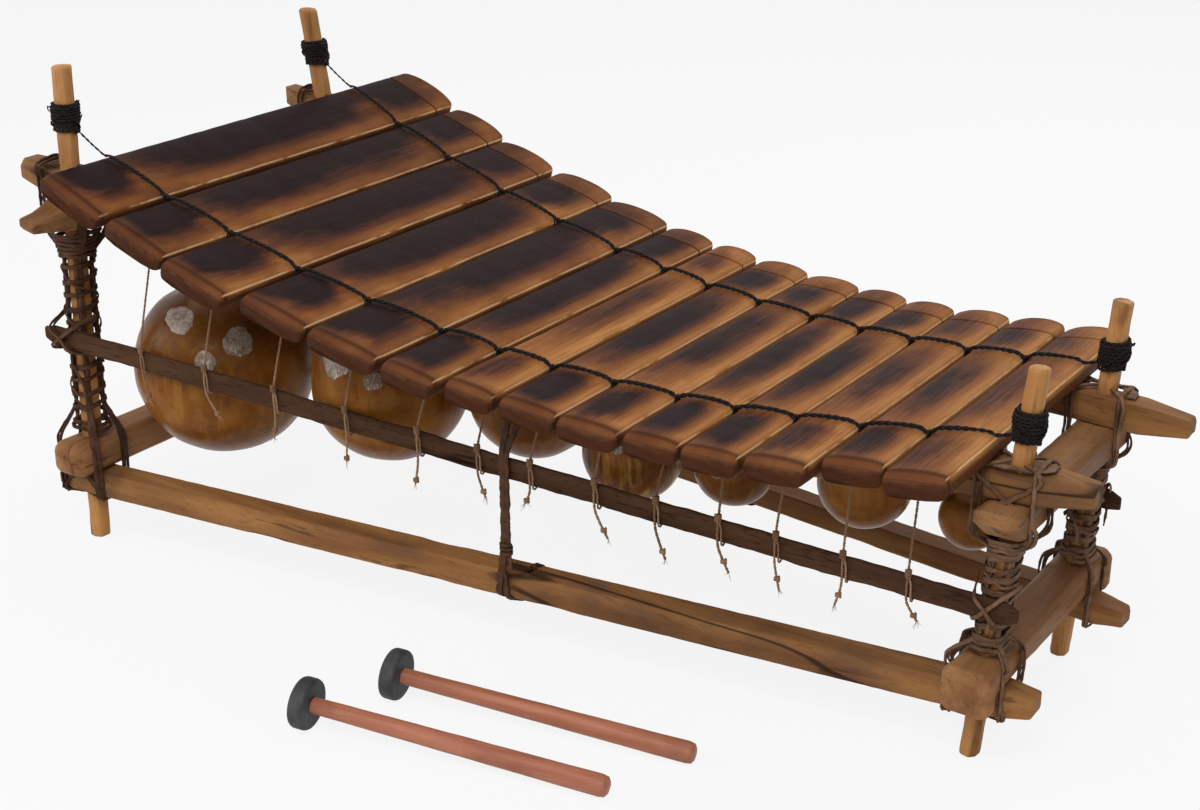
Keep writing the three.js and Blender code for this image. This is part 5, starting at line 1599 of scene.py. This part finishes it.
def make_mallet(side, stick_material, head_material):
    x, y = MALLETS[side]
    near = side == "near"
    dip = math.asin((HEAD_RADIUS - STICK_FREE) / MALLET_LENGTH)
    along = np.array([
        math.cos(MALLET_TURN) * math.cos(dip), math.sin(MALLET_TURN) * math.cos(dip),
        -math.sin(dip)])
    across = np.array([-math.sin(MALLET_TURN), math.cos(MALLET_TURN), 0.0])
    up = np.cross(along, across)
    start = np.array([x, y, HEAD_RADIUS * math.cos(dip) + 4 * math.sin(dip)])
    turn = turns_of(40)
    ring = across * np.cos(turn)[:, None] + up * np.sin(turn)[:, None]

    def lathe(distance, radius, flats):
        reach = radius[:, None] * (1 + flats)
        return start + along * distance[:, None, None] + ring * reach[..., None]

    # The stick: whittled, a little thicker towards its free end
    from_end = MALLET_LENGTH - np.array([6, 3.4, 1.6, 0.5, 0])
    s = np.r_[-7.2, -6.6, -5.5, -4, 0, 6, 10, np.arange(14, MALLET_LENGTH - 9, 5.0), from_end]
    radius = np.interp(s, [-7, 14, MALLET_LENGTH], [STICK_HEAD, STICK_HEAD, STICK_FREE])
    trim = np.interp(s, [-7.2, -6.6, -5.5, *from_end[[0, 2, 4]]], [1.6, 0.8, 0.2, 0, 0.9, 3.2])
    wave = wobble(s, 1, 60, 600 if near else 640)[:, None]
    flats = 0.018 * np.cos(5 * turn + 1) + 0.014 * np.cos(2 * turn) - 0.03
    flats = flats + 0.012 * wave * np.cos(3 * turn)
    shape = Shape()
    shape.grid(lathe(s, radius - trim, flats), seed=0.3 if near else 0.7)
    body = "mallet_" + side
    shape.make(
        "beater_stick_" + side, stick_material, body=body,
        replaces=("mallet_stick_" + side,))
    # The head: a rubber disc with rounded edges, slightly out of round
    outer = HEAD_RADIUS - 0.3
    depth = HEAD_THICKNESS / 2 - np.array([0, 0, 0.25, 0.9, 2, 3.4])
    radius = np.array([STICK_HEAD - 0.2, outer - 4, outer - 2.1, outer - 1, outer - 0.35, outer])
    shape = Shape()
    shape.grid(lathe(
        np.r_[-depth, 0, depth[::-1]], np.r_[radius, outer, radius[::-1]],
        0.004 * np.cos(3 * turn[None] + 2) - 0.004))
    shape.make(
        "beater_head_" + side, head_material, body=body,
        replaces=("mallet_head_" + side,))


# Floor, backdrop and light

def add_stage():
    """A floor that looks nearly white, in a world that looks white and lights softly."""
    paint = Paint("pale_floor")
    lit = paint.node("ShaderNodeBsdfDiffuse", (0.85, 0.85, 0.85))
    white = paint.node("ShaderNodeEmission")
    white.inputs["Strength"].default_value = 0.97
    paint.blend(paint.seen() * 0.9, lit, white)
    mesh = bpy.data.meshes.new("floor")
    reach = 30.0
    corners = [(-reach, -reach, 0), (reach, -reach, 0), (reach, reach, 0), (-reach, reach, 0)]
    mesh.from_pydata(corners, [], [(0, 1, 2, 3)])
    mesh.materials.append(paint.material)
    link(bpy.data.objects.new("floor", mesh))
    world = bpy.data.worlds.new("world")
    nodes = Nodes(world, "ShaderNodeOutputWorld")
    light, white = (
        nodes.node("ShaderNodeBackground", (1, 1, 1), strength) for strength in (WORLD_LIGHT, 1.0))
    nodes.blend(nodes.seen(), light, white)
    bpy.context.scene.world = world


# Each lamp's place, the point it faces, its size and its power
LAMPS = {
    "key_light": ((0.6, -1.5, 2.2), (0, 0, 0.2), 1.4, 34),
    "fill_light": ((-1.9, -1.3, 1.2), (0, 0, 0.2), 1.8, 14),
    "back_light": ((0.2, 2.0, 1.8), (0, 0, 0.25), 1.6, 16),
}


def add_lamps():
    for name, (at, aim, size, power) in LAMPS.items():
        data = bpy.data.lights.new(name, "AREA")
        data.shape = "DISK"
        data.size = size
        data.energy = power
        lamp = link(bpy.data.objects.new(name, data))
        lamp.location = at
        lamp.rotation_euler = (Vector(aim) - Vector(at)).to_track_quat("-Z", "Y").to_euler()


# The whole set

add_camera()
add_stage()
add_lamps()
slat_wood = key_wood()
for key in KEYS:
    make_key(key, slat_wood)
post_wood = wood(
    "golden_post_wood", "z", (0.5, 0.25, 0.09), (0.38, 0.165, 0.05), (0.15, 0.055, 0.018), 0.5)
rail_wood = wood(
    "hewn_rail_wood", "x", (0.33, 0.156, 0.053), (0.175, 0.075, 0.027), (0.045, 0.019, 0.01), 0.6,
    soil=0.6)
cross_wood = wood(
    "hewn_cross_wood", "y", (0.34, 0.17, 0.07), (0.19, 0.08, 0.03), (0.05, 0.02, 0.01), 0.5)
bark = wood(
    "dark_strip_wood", "x", (0.105, 0.053, 0.029), (0.05, 0.024, 0.014), (0.015, 0.008, 0.006),
    0.85, streak=0.8, shine=0.03)
for post_name in POSTS:
    make_post(post_name, post_wood)
make_long_rails(rail_wood)
make_cross_rails(cross_wood)
make_strips(bark)
shell = gourd_shell()
gourds = {row[0]: make_gourd(*row, shell) for row in GOURDS}
make_patches(gourds, membrane())
dark_hide = rawhide(
    "dark_rawhide", (0.175, 0.083, 0.045), (0.082, 0.035, 0.019), (0.033, 0.0145, 0.009))
brown_hide = rawhide(
    "brown_rawhide", (0.36, 0.215, 0.13), (0.185, 0.095, 0.054), (0.062, 0.028, 0.0165))
cord = black_cord()
thread = twine()
for post_name in POSTS:
    hide = dark_hide if post_name.startswith("bass") else brown_hide
    make_lashing(post_name, hide)
    make_strip_ties(post_name, hide)
    make_winding(post_name, cord)
for side in SIGN:
    make_key_cord(side, cord)
    make_drop_strings(side, thread)
    make_middle_tie(side, dark_hide)
red_wood = stick_wood()
black_rubber = rubber()
for side in MALLETS:
    make_mallet(side, red_wood, black_rubber)
